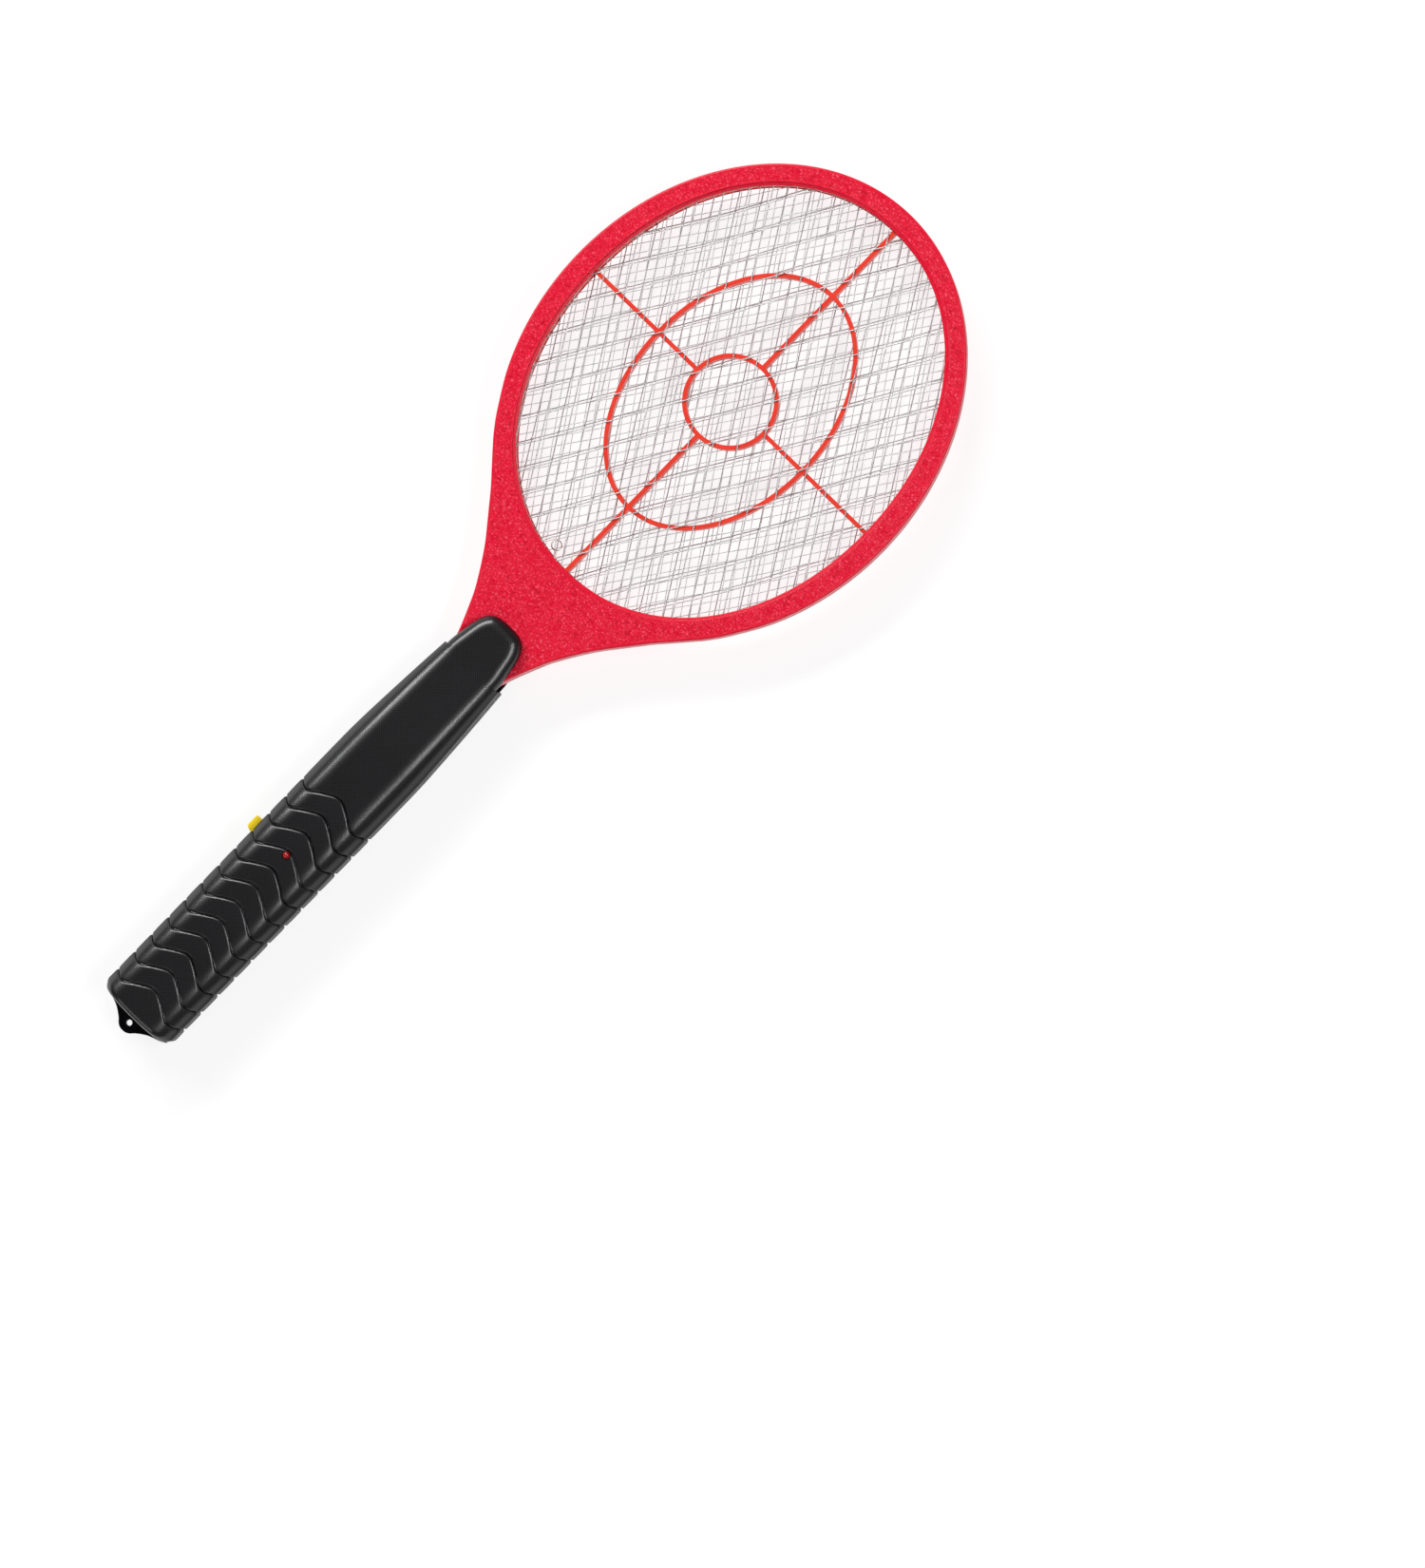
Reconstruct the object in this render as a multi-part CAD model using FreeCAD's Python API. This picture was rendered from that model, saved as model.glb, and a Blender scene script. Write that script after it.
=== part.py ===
import FreeCAD, Part
import math
import os

os.makedirs("parts", exist_ok=True)
V = FreeCAD.Vector

# ---------------------------------------------------------------------------
# Electric insect racket, lying on its back.
# Frame: +Y from the butt to the head's tip, +Z out of the front face, +X across.
# While modelling, Y is counted from the tip of the hanging lug. Every part is
# shifted by -length/2 at the end, so the origin is the bottom centre of the box.
# ---------------------------------------------------------------------------

# overall
length = 440.3            # lug tip to head tip
mid_z = 13.5              # parting plane of both the handle and the head

# head
head_cy = 340.0           # centre of the head's oval
head_a = 82.7             # outer half width
head_b = 100.3            # outer half length
open_a = 73.1             # net opening, half width
open_b = 91.2             # net opening, half length
oval_power = 2.06         # the opening is slightly squarer than an ellipse
frame_half = 6.0          # thickness of each frame half
pocket_a = 76.5           # pocket that holds nets and spacers
pocket_b = 94.6
pocket_depth = 4.4        # from the parting plane
net_a = 76.1              # outline of the nets
net_b = 94.2
outer_net_z = 3.7         # parting plane to the inner face of each coarse net
coarse_t = 0.6            # sheet thickness of the coarse nets
fine_t = 0.4              # sheet thickness of the fine net
coarse_px = 10.97         # diamond width of the coarse nets
coarse_py = 18.25         # diamond length
coarse_w = 0.75           # strand width
coarse_bond = 2.2         # length of the joint between two strands
fine_px = 4.32
fine_py = 6.17
fine_w = 0.42
front_phase = (-4.4, 342.3)
rear_phase = (-7.9, 340.0)
fine_phase = (0.9, 341.2)
spider_w = 1.7            # width of the spokes and rings
small_ring_r = 17.9
oval_ring_a = 39.0
oval_ring_b = 56.8
spacer_z0 = 0.3           # spacer, from the parting plane
spacer_z1 = 3.6
peg_r = 1.0
peg_count = 12

# neck insert inside the handle
insert_y0 = 170.0
insert_half = 11.6

# handle
grip_half = 17.5
handle_h = 27.0
wall = 1.8
plateau = 9.0             # half width of the flat top
butt_y = 6.9
shoulder_y = 196.5
tongue_top = 25.5
groove_pitch = 9.37
groove_first = 124.6
groove_count = 12
groove_half = 0.6
groove_depth = 0.6

# lug and hanging hole
lug_z0 = 11.2
lug_hole_y = 4.0
lug_hole_r = 1.2

# battery bay
cell_r = 7.25
cell_len = 50.5
cell_x = 7.45
cell_z = 13.5
bay_y0 = 9.6
bay_y1 = 64.5
cover_half = 12.0
cover_y1 = 70.0
cover_gap = 0.3

# button and switch
btn_y = 93.6
btn_z = 13.5
btn_half = 3.3
btn_tip = -20.4
btn_travel = 1.5

# board
board_z0 = 10.0
board_z1 = 11.6
led_y = 94.5
led_r = 1.55

# screws
shell_screw = [(-9.5, 139.0), (9.5, 139.0)]
neck_screw = [(-7.0, 187.0), (7.0, 187.0)]
board_screw = [(9.3, 77.5), (-9.3, 126.5)]


def box(x0, x1, y0, y1, z0, z1):
    return Part.makeBox(x1 - x0, y1 - y0, z1 - z0, V(x0, y0, z0))


def cyl(x, y, z0, z1, r):
    return Part.makeCylinder(r, z1 - z0, V(x, y, z0), V(0, 0, 1))


def ycyl(x, z, y0, y1, r):
    return Part.makeCylinder(r, y1 - y0, V(x, y0, z), V(0, 1, 0))


def xcyl(y, z, x0, x1, r):
    return Part.makeCylinder(r, x1 - x0, V(x0, y, z), V(1, 0, 0))


def closed_spline(points):
    c = Part.BSplineCurve()
    c.interpolate(Points=points, PeriodicFlag=True)
    return Part.Wire([c.toShape()])


def oval_points(a, b, count, power=oval_power):
    out = []
    for i in range(count):
        t = 2 * math.pi * i / count
        c, s = math.cos(t), math.sin(t)
        out.append((math.copysign(abs(c) ** (2 / power), c) * a,
                    head_cy + math.copysign(abs(s) ** (2 / power), s) * b))
    return out


def oval(a, b, z0, z1, power=oval_power):
    if power == 2.0:
        if b >= a:
            e = Part.Ellipse(V(0, head_cy + b, z0), V(a, head_cy, z0), V(0, head_cy, z0))
        else:
            e = Part.Ellipse(V(a, head_cy, z0), V(0, head_cy + b, z0), V(0, head_cy, z0))
        w = Part.Wire([e.toShape()])
    else:
        w = closed_spline([V(x, y, z0) for x, y in oval_points(a, b, 48, power)])
    return Part.Face(w).extrude(V(0, 0, z1 - z0))


def fuse(shapes):
    s = shapes[0]
    if len(shapes) > 1:
        s = s.multiFuse(shapes[1:])
    return s


def tube_path(points, r, bend=0.45):
    """Straight runs joined by tangent arcs, swept with a circle."""
    pts = [V(*p) for p in points]
    edges = []
    cur = pts[0]
    for i in range(1, len(pts) - 1):
        a, b, c = pts[i - 1], pts[i], pts[i + 1]
        d1 = (a - b)
        d2 = (c - b)
        l1, l2 = d1.Length, d2.Length
        d1.normalize()
        d2.normalize()
        half = math.acos(max(-1, min(1, d1.dot(d2)))) / 2
        cut = bend * min(l1, l2)
        rad = cut * math.tan(half)
        p1 = b + d1 * cut
        p2 = b + d2 * cut
        bis = (d1 + d2)
        bis.normalize()
        centre = b + bis * (rad / math.sin(half))
        m = centre - bis * rad
        edges.append(Part.LineSegment(cur, p1).toShape())
        edges.append(Part.Arc(p1, m, p2).toShape())
        cur = p2
    edges.append(Part.LineSegment(cur, pts[-1]).toShape())
    w = Part.Wire(edges)
    t = pts[1] - pts[0]
    prof = Part.Wire([Part.makeCircle(r, pts[0], t)])
    s = w.makePipeShell([prof], True, False)
    want = math.pi * r * r * w.Length
    if not s.isValid() or abs(s.Volume - want) > 0.03 * want:
        print("tube volume differs", s.Volume, want, s.isValid())
    return s


def keep(name, shape):
    if shape.ShapeType == "Compound" and len(shape.Solids) == 1:
        shape = shape.Solids[0]
    shape = shape.copy()
    shape.translate(V(0, -length / 2, 0))
    ok = len(shape.Faces) > 1000 or shape.isValid()
    print("%-22s solids %2d faces %5d volume %9.1f %s" % (
        name, len(shape.Solids), len(shape.Faces), shape.Volume, "" if ok else "INVALID"))
    shape.exportStep("parts/" + name + ".step")


# ---------------------------------------------------------------------------
# Head: outline with the concave flare down to the neck insert
# ---------------------------------------------------------------------------
flare = [(12.7, 200.0), (13.9, 203.6), (15.3, 207.2), (17.6, 212.7), (20.1, 218.3), (23.2, 223.8),
         (26.6, 229.3), (30.4, 234.9), (34.7, 240.4), (39.1, 245.9), (43.6, 251.5), (48.5, 257.0),
         (53.4, 262.5), (58.0, 267.9)]
side = list(flare)
for deg in range(-40, 91, 10):
    t = math.radians(deg)
    side.append((head_a * math.cos(t), head_cy + head_b * math.sin(t)))
side[-1] = (0.0, head_cy + head_b)
loop = side + [(-x, y) for x, y in reversed(side[:-1])]


def head_outline(z0, z1):
    c = Part.BSplineCurve()
    c.interpolate(Points=[V(x, y, z0) for x, y in loop])
    neck = [(-12.7, 200.0), (-insert_half, 196.6), (-insert_half, insert_y0),
            (insert_half, insert_y0), (insert_half, 196.6), (12.7, 200.0)]
    edges = [c.toShape()]
    for p, q in zip(neck, neck[1:]):
        edges.append(Part.LineSegment(V(p[0], p[1], z0), V(q[0], q[1], z0)).toShape())
    w = Part.Wire(Part.__sortEdges__(edges))
    return Part.Face(w).extrude(V(0, 0, z1 - z0))


def soften(solid, z, r):
    """Rounds the long outer and inner edges of a frame half at height z."""
    picked = [e for e in solid.Edges if abs(e.BoundBox.ZMin - z) < 1e-4 and abs(e.BoundBox.ZMax - z) < 1e-4
              and e.Length > 150]
    try:
        f = solid.makeFillet(r, picked)
        if f.isValid() and f.Volume > 0.9 * solid.Volume:
            return f
    except Exception as err:
        print("edge rounding skipped:", err)
    return solid


def peg_places(a, b):
    out = []
    for i in range(peg_count):
        t = math.radians(-55 + 290.0 * i / (peg_count - 1))
        out.append((a * math.cos(t), head_cy + b * math.sin(t)))
    return out


pegs = peg_places((head_a + pocket_a) / 2, (head_b + pocket_b) / 2)

front_frame = head_outline(mid_z, mid_z + frame_half)
front_frame = front_frame.cut(oval(open_a, open_b, mid_z - 1, mid_z + frame_half + 1))
front_frame = soften(front_frame, mid_z + frame_half, 0.7)
front_frame = front_frame.cut(oval(pocket_a, pocket_b, mid_z - 1, mid_z + pocket_depth))
front_frame = front_frame.cut(box(-5.2, 5.2, insert_y0 - 1, head_cy - pocket_b + 1.5, mid_z - 1, mid_z + 1.3))
front_frame = front_frame.cut(box(-5.2, 5.2, 241.5, head_cy - pocket_b + 1.5, mid_z - 1, mid_z + 2.4))
for x, y in neck_screw:
    front_frame = front_frame.cut(cyl(x, y, mid_z - 1, mid_z + frame_half + 1, 1.6))
front_frame = fuse([front_frame] + [cyl(x, y, mid_z - 3.2, mid_z + 0.5, peg_r) for x, y in pegs])
keep("front_frame", front_frame)

rear_frame = head_outline(mid_z - frame_half, mid_z)
rear_frame = rear_frame.cut(oval(open_a, open_b, mid_z - frame_half - 1, mid_z + 1))
rear_frame = soften(rear_frame, mid_z - frame_half, 0.7)
rear_frame = rear_frame.cut(oval(pocket_a, pocket_b, mid_z - pocket_depth, mid_z + 1))
rear_frame = rear_frame.cut(box(-5.2, 5.2, insert_y0 - 1, head_cy - pocket_b + 1.5, mid_z - 1.3, mid_z + 1))
rear_frame = rear_frame.cut(box(-5.2, 5.2, 241.5, head_cy - pocket_b + 1.5, mid_z - 2.4, mid_z + 1))
for x, y in neck_screw:
    rear_frame = rear_frame.cut(cyl(x, y, mid_z - frame_half - 1, mid_z + 1, 1.6))
for x, y in pegs:
    rear_frame = rear_frame.cut(cyl(x, y, mid_z - 3.6, mid_z + 1, peg_r + 0.08))
keep("rear_frame", rear_frame)


# ---------------------------------------------------------------------------
# Nets: expanded sheet with diamond windows, cut off along the opening's oval
# ---------------------------------------------------------------------------
def clip_polygon(poly, edge):
    """Cuts a convex polygon back to a convex outline given counter-clockwise."""
    out = poly
    for i in range(len(edge)):
        ax, ay = edge[i]
        bx, by = edge[(i + 1) % len(edge)]
        nx, ny = -(by - ay), bx - ax
        res = []
        for j in range(len(out)):
            p, q = out[j], out[(j + 1) % len(out)]
            dp = (p[0] - ax) * nx + (p[1] - ay) * ny
            dq = (q[0] - ax) * nx + (q[1] - ay) * ny
            if dp >= 0:
                res.append(p)
            if (dp > 0 > dq) or (dp < 0 < dq):
                k = dp / (dp - dq)
                res.append((p[0] + (q[0] - p[0]) * k, p[1] + (q[1] - p[1]) * k))
        out = res
        if len(out) < 3:
            return []
    return out


def area(poly):
    return 0.5 * sum(p[0] * q[1] - q[0] * p[1] for p, q in zip(poly, poly[1:] + poly[:1]))


def tidy(poly):
    res = []
    for p in poly:
        if not res or math.hypot(p[0] - res[-1][0], p[1] - res[-1][1]) > 0.12:
            res.append(p)
    if len(res) > 2 and math.hypot(res[0][0] - res[-1][0], res[0][1] - res[-1][1]) <= 0.12:
        res.pop()
    return res


def net(a, b, px, py, strand, bond, phase, z0, t, edge_a, edge_b, edge_count):
    edge = [(edge_a * math.cos(2 * math.pi * i / edge_count), head_cy + edge_b * math.sin(2 * math.pi * i / edge_count))
            for i in range(edge_count)]
    # one window: a diamond whose left and right corners are cut off by the bonds
    hx, hy = px / 2, py / 2
    slope = math.atan2(hx, hy - bond / 2)
    m = strand / 2 / math.cos(slope)
    top = hy - bond / 2 - m / math.tan(slope) * 1.0
    half_w = hx - strand / 2
    shoulder = max(0.0, bond / 2)
    shape = [(0, -top), (half_w, -shoulder), (half_w, shoulder), (0, top), (-half_w, shoulder), (-half_w, -shoulder)]
    if bond <= 0:
        k = 1 - (m / hx)
        shape = [(0, -hy * k), (hx * k, 0), (0, hy * k), (-hx * k, 0)]
    holes = []
    ni, nj = int(2 * a / px) + 3, int(2 * b / py) + 3
    for j in range(-2 * nj, 2 * nj + 1):
        for i in range(-ni, ni + 1):
            # bonds sit at the lattice points, windows half a pitch beside them
            cx = phase[0] + px * (i + (0.5 if j % 2 == 0 else 0.0))
            cy = phase[1] + py * j / 2
            if ((cx) / (edge_a + px)) ** 2 + ((cy - head_cy) / (edge_b + py)) ** 2 > 1:
                continue
            poly = tidy(clip_polygon([(cx + x, cy + y) for x, y in shape], edge))
            if len(poly) >= 3 and area(poly) > 0.12 * area(shape):
                holes.append(poly)
    outer = Part.Face(Part.Wire([Part.Ellipse(V(0, head_cy + b, z0), V(a, head_cy, z0), V(0, head_cy, z0)).toShape()]))
    wires = [outer.OuterWire]
    for poly in holes:
        pts = [V(x, y, z0) for x, y in poly]
        w = Part.makePolygon(pts + [pts[0]])
        wires.append(w)
    face = Part.Face(wires)
    print("windows", len(holes))
    return face.extrude(V(0, 0, t))


front_net = net(net_a, net_b, coarse_px, coarse_py, coarse_w, coarse_bond, front_phase,
                mid_z + outer_net_z, coarse_t, 74.6, 92.7, 96)
keep("front_net", front_net)
rear_net = net(net_a, net_b, coarse_px, coarse_py, coarse_w, coarse_bond, rear_phase,
               mid_z - outer_net_z - coarse_t, coarse_t, 74.6, 92.7, 96)
keep("rear_net", rear_net)
middle_net = net(net_a, net_b, fine_px, fine_py, fine_w, 0.0, fine_phase,
                 mid_z - fine_t / 2, fine_t, 74.6, 92.7, 96)
keep("middle_net", middle_net)


# ---------------------------------------------------------------------------
# Spacers: rim ring with a cross, an oval ring and a small ring
# ---------------------------------------------------------------------------
def spacer(z0, z1):
    rim = oval(pocket_a - 0.3, pocket_b - 0.3, z0, z1).cut(oval(open_a + 0.4, open_b + 0.4, z0 - 1, z1 + 1))
    h = spider_w / 2
    ring = oval(oval_ring_a + h, oval_ring_b + h, z0, z1, 2.0).cut(
        oval(oval_ring_a - h, oval_ring_b - h, z0 - 1, z1 + 1, 2.0))
    small = cyl(0, head_cy, z0, z1, small_ring_r + h).cut(cyl(0, head_cy, z0 - 1, z1 + 1, small_ring_r - h))
    cross = box(-open_a - 1.5, open_a + 1.5, head_cy - h, head_cy + h, z0, z1).fuse(
        box(-h, h, head_cy - open_b - 1.5, head_cy + open_b + 1.5, z0, z1))
    cross = cross.cut(cyl(0, head_cy, z0 - 1, z1 + 1, small_ring_r))
    s = fuse([rim, ring, small, cross])
    notch = box(-6, 6, head_cy - pocket_b - 1, head_cy - open_b - 1.7, z0 - 1, z1 + 1)
    return s.cut(notch).removeSplitter()


# the front one has a slot for the tail of the wire ring
keep("front_spacer", spacer(mid_z + spacer_z0, mid_z + spacer_z1).cut(box(-8.8, -4.4, 244, 250, mid_z, mid_z + 0.95)))
keep("rear_spacer", spacer(mid_z - spacer_z1, mid_z - spacer_z0))

# wire ring on the middle net beside the neck, with its tail in the spacer's notch
ring = Part.makeTorus(2.0, 0.24, V(-9.9, 253.2, mid_z + 0.56), V(0, 0, 1))
tail = Part.makeCylinder(0.24, 6.4, V(-8.6, 251.4, mid_z + 0.56), V(0.56, -0.83, 0))
keep("net_contact_ring", ring.fuse(tail))

# contact tabs on the edges of the three nets, in the notch of the spacers
tab_y0 = head_cy - net_b + 0.2
tabs = [box(-4.4, -1.6, tab_y0, tab_y0 + 1.05, mid_z + outer_net_z - 0.35, mid_z + outer_net_z - 0.02),
        box(-1.3, 1.3, tab_y0, tab_y0 + 1.05, mid_z + fine_t / 2 + 0.02, mid_z + fine_t / 2 + 0.3),
        box(1.6, 4.4, tab_y0, tab_y0 + 1.05, mid_z - outer_net_z + 0.02, mid_z - outer_net_z + 0.35)]
keep("net_tabs", Part.makeCompound(tabs))

# leads from the board through the neck channel
wire_r = 0.55
end_y = head_cy - net_b - 0.15
keep("front_net_lead", tube_path([(-3.0, 128.0, 12.25), (-3.0, 140.0, 12.25), (-3.0, 158.0, 13.5), (-3.0, 240.2, 13.5),
                                  (-3.0, end_y - 0.75, 14.6)], wire_r, 0.45))
keep("middle_net_lead", tube_path([(0.0, 128.0, 12.25), (0.0, 140.0, 12.25), (0.0, 158.0, 13.5), (0.0, end_y - 0.6, 13.5)], wire_r, 0.45))
keep("rear_net_lead", tube_path([(3.0, 128.0, 12.25), (3.0, 140.0, 12.25), (3.0, 158.0, 13.5), (3.0, 240.2, 13.5),
                                 (3.0, end_y - 0.75, 12.4)], wire_r, 0.45))


# ---------------------------------------------------------------------------
# Handle shells
# ---------------------------------------------------------------------------
width_at = [(11.0, 17.5), (146.0, 17.5), (152.0, 17.3), (163.0, 16.7), (174.0, 16.05), (185.0, 15.3),
            (190.6, 14.9), (196.5, 14.4)]


def half_w(y):
    if y <= width_at[0][0]:
        return width_at[0][1]
    for (y0, w0), (y1, w1) in zip(width_at, width_at[1:]):
        if y <= y1:
            return w0 + (w1 - w0) * (y - y0) / (y1 - y0)
    return width_at[-1][1]


def top_z(y):
    if y <= 150.0:
        return handle_h
    return handle_h + (tongue_top - handle_h) * (y - 150.0) / (shoulder_y - 150.0)


def section(y, inset, front):
    """Half of the handle's cross-section: vertical flank, round corner, flat."""
    w = half_w(y) - inset
    r = max(1.0, half_w(y) - plateau - inset)
    if front:
        zf = top_z(y) - inset
        sgn = 1
    else:
        zf = 0.0 + inset
        sgn = -1
    a = math.sqrt(0.5)
    p = [V(-w, y, mid_z), V(-w, y, zf - sgn * r), V(-w + r, y, zf), V(w - r, y, zf), V(w, y, zf - sgn * r), V(w, y, mid_z)]
    m1 = V(-w + r - r * a, y, zf - sgn * (r - r * a))
    m2 = V(w - r + r * a, y, zf - sgn * (r - r * a))
    return Part.Wire([Part.LineSegment(p[0], p[1]).toShape(), Part.Arc(p[1], m1, p[2]).toShape(),
                      Part.LineSegment(p[2], p[3]).toShape(), Part.Arc(p[3], m2, p[4]).toShape(),
                      Part.LineSegment(p[4], p[5]).toShape(), Part.LineSegment(p[5], p[0]).toShape()])


def loft(stations, front):
    return Part.makeLoft([section(y, i, front) for y, i in stations], True, True)


long_stations = [146.0, 152.0, 163.0, 174.0, 185.0, 190.6]
outer_st = [(6.9, 4.2), (7.35, 2.8), (8.15, 1.65), (9.4, 0.7), (11.0, 0.0)] + [(y, 0.0) for y in long_stations] + [(shoulder_y, 0.0)]
inner_st = [(9.0, wall + 2.4), (11.4, wall), (13.0, wall)] + [(y, wall) for y in long_stations] + [(shoulder_y - 1.8, wall)]
core_st = [(7.6, 3.0), (9.4, 1.3), (11.0, groove_depth), (146.0, groove_depth)]

outer_front = loft(outer_st, True)
outer_rear = loft(outer_st, False)
inner_front = loft(inner_st, True)
inner_rear = loft(inner_st, False)
core = loft(core_st, True).fuse(loft(core_st, False))


# chevron grooves: rounded peak on the middle line, lowest near the corners
def chevron_y(x):
    ax = abs(x)
    table = [(0, 0), (1.5, 0.22), (3.0, 0.85), (5.0, 2.0), (8.0, 3.9), (10.5, 5.45), (12.2, 6.25), (13.4, 6.45),
             (14.6, 6.2), (16.0, 5.4), (17.5, 4.6), (19.5, 4.2)]
    for (x0, y0), (x1, y1) in zip(table, table[1:]):
        if ax <= x1:
            return y0 + (y1 - y0) * (ax - x0) / (x1 - x0)
    return table[-1][1]


xs = [-19.5, -17.5, -16.0, -14.6, -13.4, -12.2, -10.5, -8.0, -5.0, -3.0, -1.5, 0, 1.5, 3.0, 5.0, 8.0, 10.5, 12.2, 13.4,
      14.6, 16.0, 17.5, 19.5]
grooves = []
for i in range(groove_count):
    peak = groove_first - groove_pitch * i
    up = [V(x, peak - chevron_y(x) + groove_half, -3) for x in xs]
    dn = [V(x, peak - chevron_y(x) - groove_half, -3) for x in reversed(xs)]
    cu, cd = Part.BSplineCurve(), Part.BSplineCurve()
    cu.interpolate(Points=up)
    cd.interpolate(Points=dn)
    w = Part.Wire([cu.toShape(), Part.LineSegment(up[-1], dn[0]).toShape(), cd.toShape(),
                   Part.LineSegment(dn[-1], up[0]).toShape()])
    grooves.append(Part.Face(w).extrude(V(0, 0, 36)).cut(core))


# plan outline of the tongue that lies on the neck
def tongue(z0, z1, fillet, up):
    side_t = [(13.25, 193.5), (13.22, 198.0), (12.95, 201.0), (12.35, 204.5), (11.7, 208.5), (10.9, 211.8), (9.6, 214.6),
              (7.4, 216.9), (4.2, 217.95), (0, 218.2)]
    pts = side_t + [(-x, y) for x, y in reversed(side_t[:-1])]
    c = Part.BSplineCurve()
    c.interpolate(Points=[V(x, y, z0) for x, y in pts])
    w = Part.Wire([c.toShape(), Part.LineSegment(V(-13.25, 193.5, z0), V(13.25, 193.5, z0)).toShape()])
    s = Part.Face(w).extrude(V(0, 0, z1 - z0))
    z = z1 if up else z0
    picked = [e for e in s.Edges if abs(e.BoundBox.ZMin - z) < 1e-4 and abs(e.BoundBox.ZMax - z) < 1e-4 and e.Length > 40]
    for r in (fillet, fillet * 0.8, fillet * 0.6):
        try:
            f = s.makeFillet(r, picked)
            if f.isValid():
                return f
        except Exception:
            pass
    print("tongue edge left sharp")
    return s


neck_top = mid_z + frame_half
neck_bot = mid_z - frame_half
mouth = box(-12.35, 12.35, shoulder_y - 4, shoulder_y + 6, neck_bot - 0.05, neck_top + 0.05)

# ---- front shell
front_shell = outer_front.cut(inner_front)
front_shell = front_shell.fuse(tongue(neck_top + 0.05, tongue_top, 4.2, True))
front_shell = front_shell.cut(mouth)
extras = []
for x, y in shell_screw:
    extras.append(cyl(x, y, 9.7, handle_h - 0.6, 3.2))
for x, y in neck_screw:
    extras.append(cyl(x, y, neck_top + 0.05, tongue_top - 0.8, 3.0))
for x, y in board_screw:
    extras.append(cyl(x, y, board_z1 + 0.02, handle_h - 0.6, 2.4))
# cradle ribs above the cells
cells_clear = fuse([ycyl(s * cell_x, cell_z, 0, 75, cell_r + 0.25) for s in (-1, 1)])
for y in (20.0, 37.0, 54.0):
    extras.append(box(-15.8, 15.8, y - 0.6, y + 0.6, mid_z + 1.0, handle_h - 0.6).cut(cells_clear))
# ribs that press on the neck insert
for y in (174.0, 181.0):
    extras.append(box(-10.5, 10.5, y - 0.6, y + 0.6, neck_top + 0.05, tongue_top + 1.0))
inner_solid = fuse([e for e in extras])
limit = fuse([inner_front, outer_front])
drop = fuse([cyl(x, y, 9.7, mid_z + 0.01, 3.2) for x, y in shell_screw] +
            [cyl(x, y, board_z1 + 0.02, mid_z + 0.01, 2.4) for x, y in board_screw])
front_shell = fuse([front_shell, inner_solid.common(limit), drop])
for x, y in shell_screw:
    front_shell = front_shell.cut(cyl(x, y, 9, 20.0, 1.4))
for x, y in neck_screw:
    front_shell = front_shell.cut(cyl(x, y, 19, 23.4, 1.4))
for x, y in board_screw:
    front_shell = front_shell.cut(cyl(x, y, 11, 18.0, 1.15))
front_shell = front_shell.cut(cyl(0, led_y, 20, 30, led_r + 0.1))
front_shell = front_shell.cut(box(-20, -14, btn_y - btn_half - 0.3, btn_y + btn_half + 0.3, mid_z - 1, btn_z + btn_half + 0.3))
for g in grooves:
    front_shell = front_shell.cut(g)
keep("front_shell", front_shell)

# ---- rear shell with the lug
lug_pts = [(16.2, 8.7), (13.6, 7.2), (10.7, 6.2), (8.6, 5.35), (7.0, 4.4), (5.6, 3.4), (4.3, 2.35), (3.1, 1.1), (1.7, 0.25), (0.0, 0.0)]
lug_loop = lug_pts + [(-x, y) for x, y in reversed(lug_pts[:-1])]
lc = Part.BSplineCurve()
lc.interpolate(Points=[V(x, y, lug_z0) for x, y in lug_loop])
lug_wire = Part.Wire([lc.toShape(), Part.LineSegment(V(-16.2, 8.7, lug_z0), V(16.2, 8.7, lug_z0)).toShape()])
lug = Part.Face(lug_wire).extrude(V(0, 0, mid_z - lug_z0))

rear_shell = outer_rear.cut(inner_rear)
rear_shell = rear_shell.fuse(tongue(1.5, neck_bot - 0.05, 3.6, False)).cut(mouth)
rear_shell = rear_shell.fuse(lug)
rear_extra = []
for x, y in shell_screw:
    rear_extra.append(cyl(x, y, 0.6, 9.6, 4.2))
for x, y in neck_screw:
    rear_extra.append(cyl(x, y, 0.6, neck_bot - 0.05, 4.2))
rear_extra.append(box(-16.5, 16.5, bay_y1 + 0.6, bay_y1 + 2.2, 5.2, mid_z))
for y in (174.0, 181.0):
    rear_extra.append(box(-10.5, 10.5, y - 0.6, y + 0.6, 0.6, neck_bot - 0.05))
rear_shell = rear_shell.fuse(fuse(rear_extra).common(fuse([outer_rear, inner_rear])))
# sliding cover's window, and the way out through the end wall
rear_shell = rear_shell.cut(box(-cover_half - cover_gap, cover_half + cover_gap, -5, cover_y1 + cover_gap, -2, 5.2))
rear_shell = rear_shell.cut(box(-13.6, 13.6, -5, 12.5, 3.3, 5.25))
for x, y in shell_screw:
    rear_shell = rear_shell.cut(cyl(x, y, -2, 3.2, 2.9)).cut(cyl(x, y, 0, 12, 1.55))
for x, y in neck_screw:
    rear_shell = rear_shell.cut(cyl(x, y, -2, 3.2, 2.9)).cut(cyl(x, y, 0, 12, 1.55))
rear_shell = rear_shell.cut(box(-20, -14, btn_y - btn_half - 0.3, btn_y + btn_half + 0.3, btn_z - btn_half - 0.3, mid_z + 1))
rear_shell = rear_shell.cut(cyl(0, lug_hole_y, lug_z0 - 5, mid_z + 5, lug_hole_r))
for g in grooves:
    rear_shell = rear_shell.cut(g)
keep("rear_shell", rear_shell)

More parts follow.
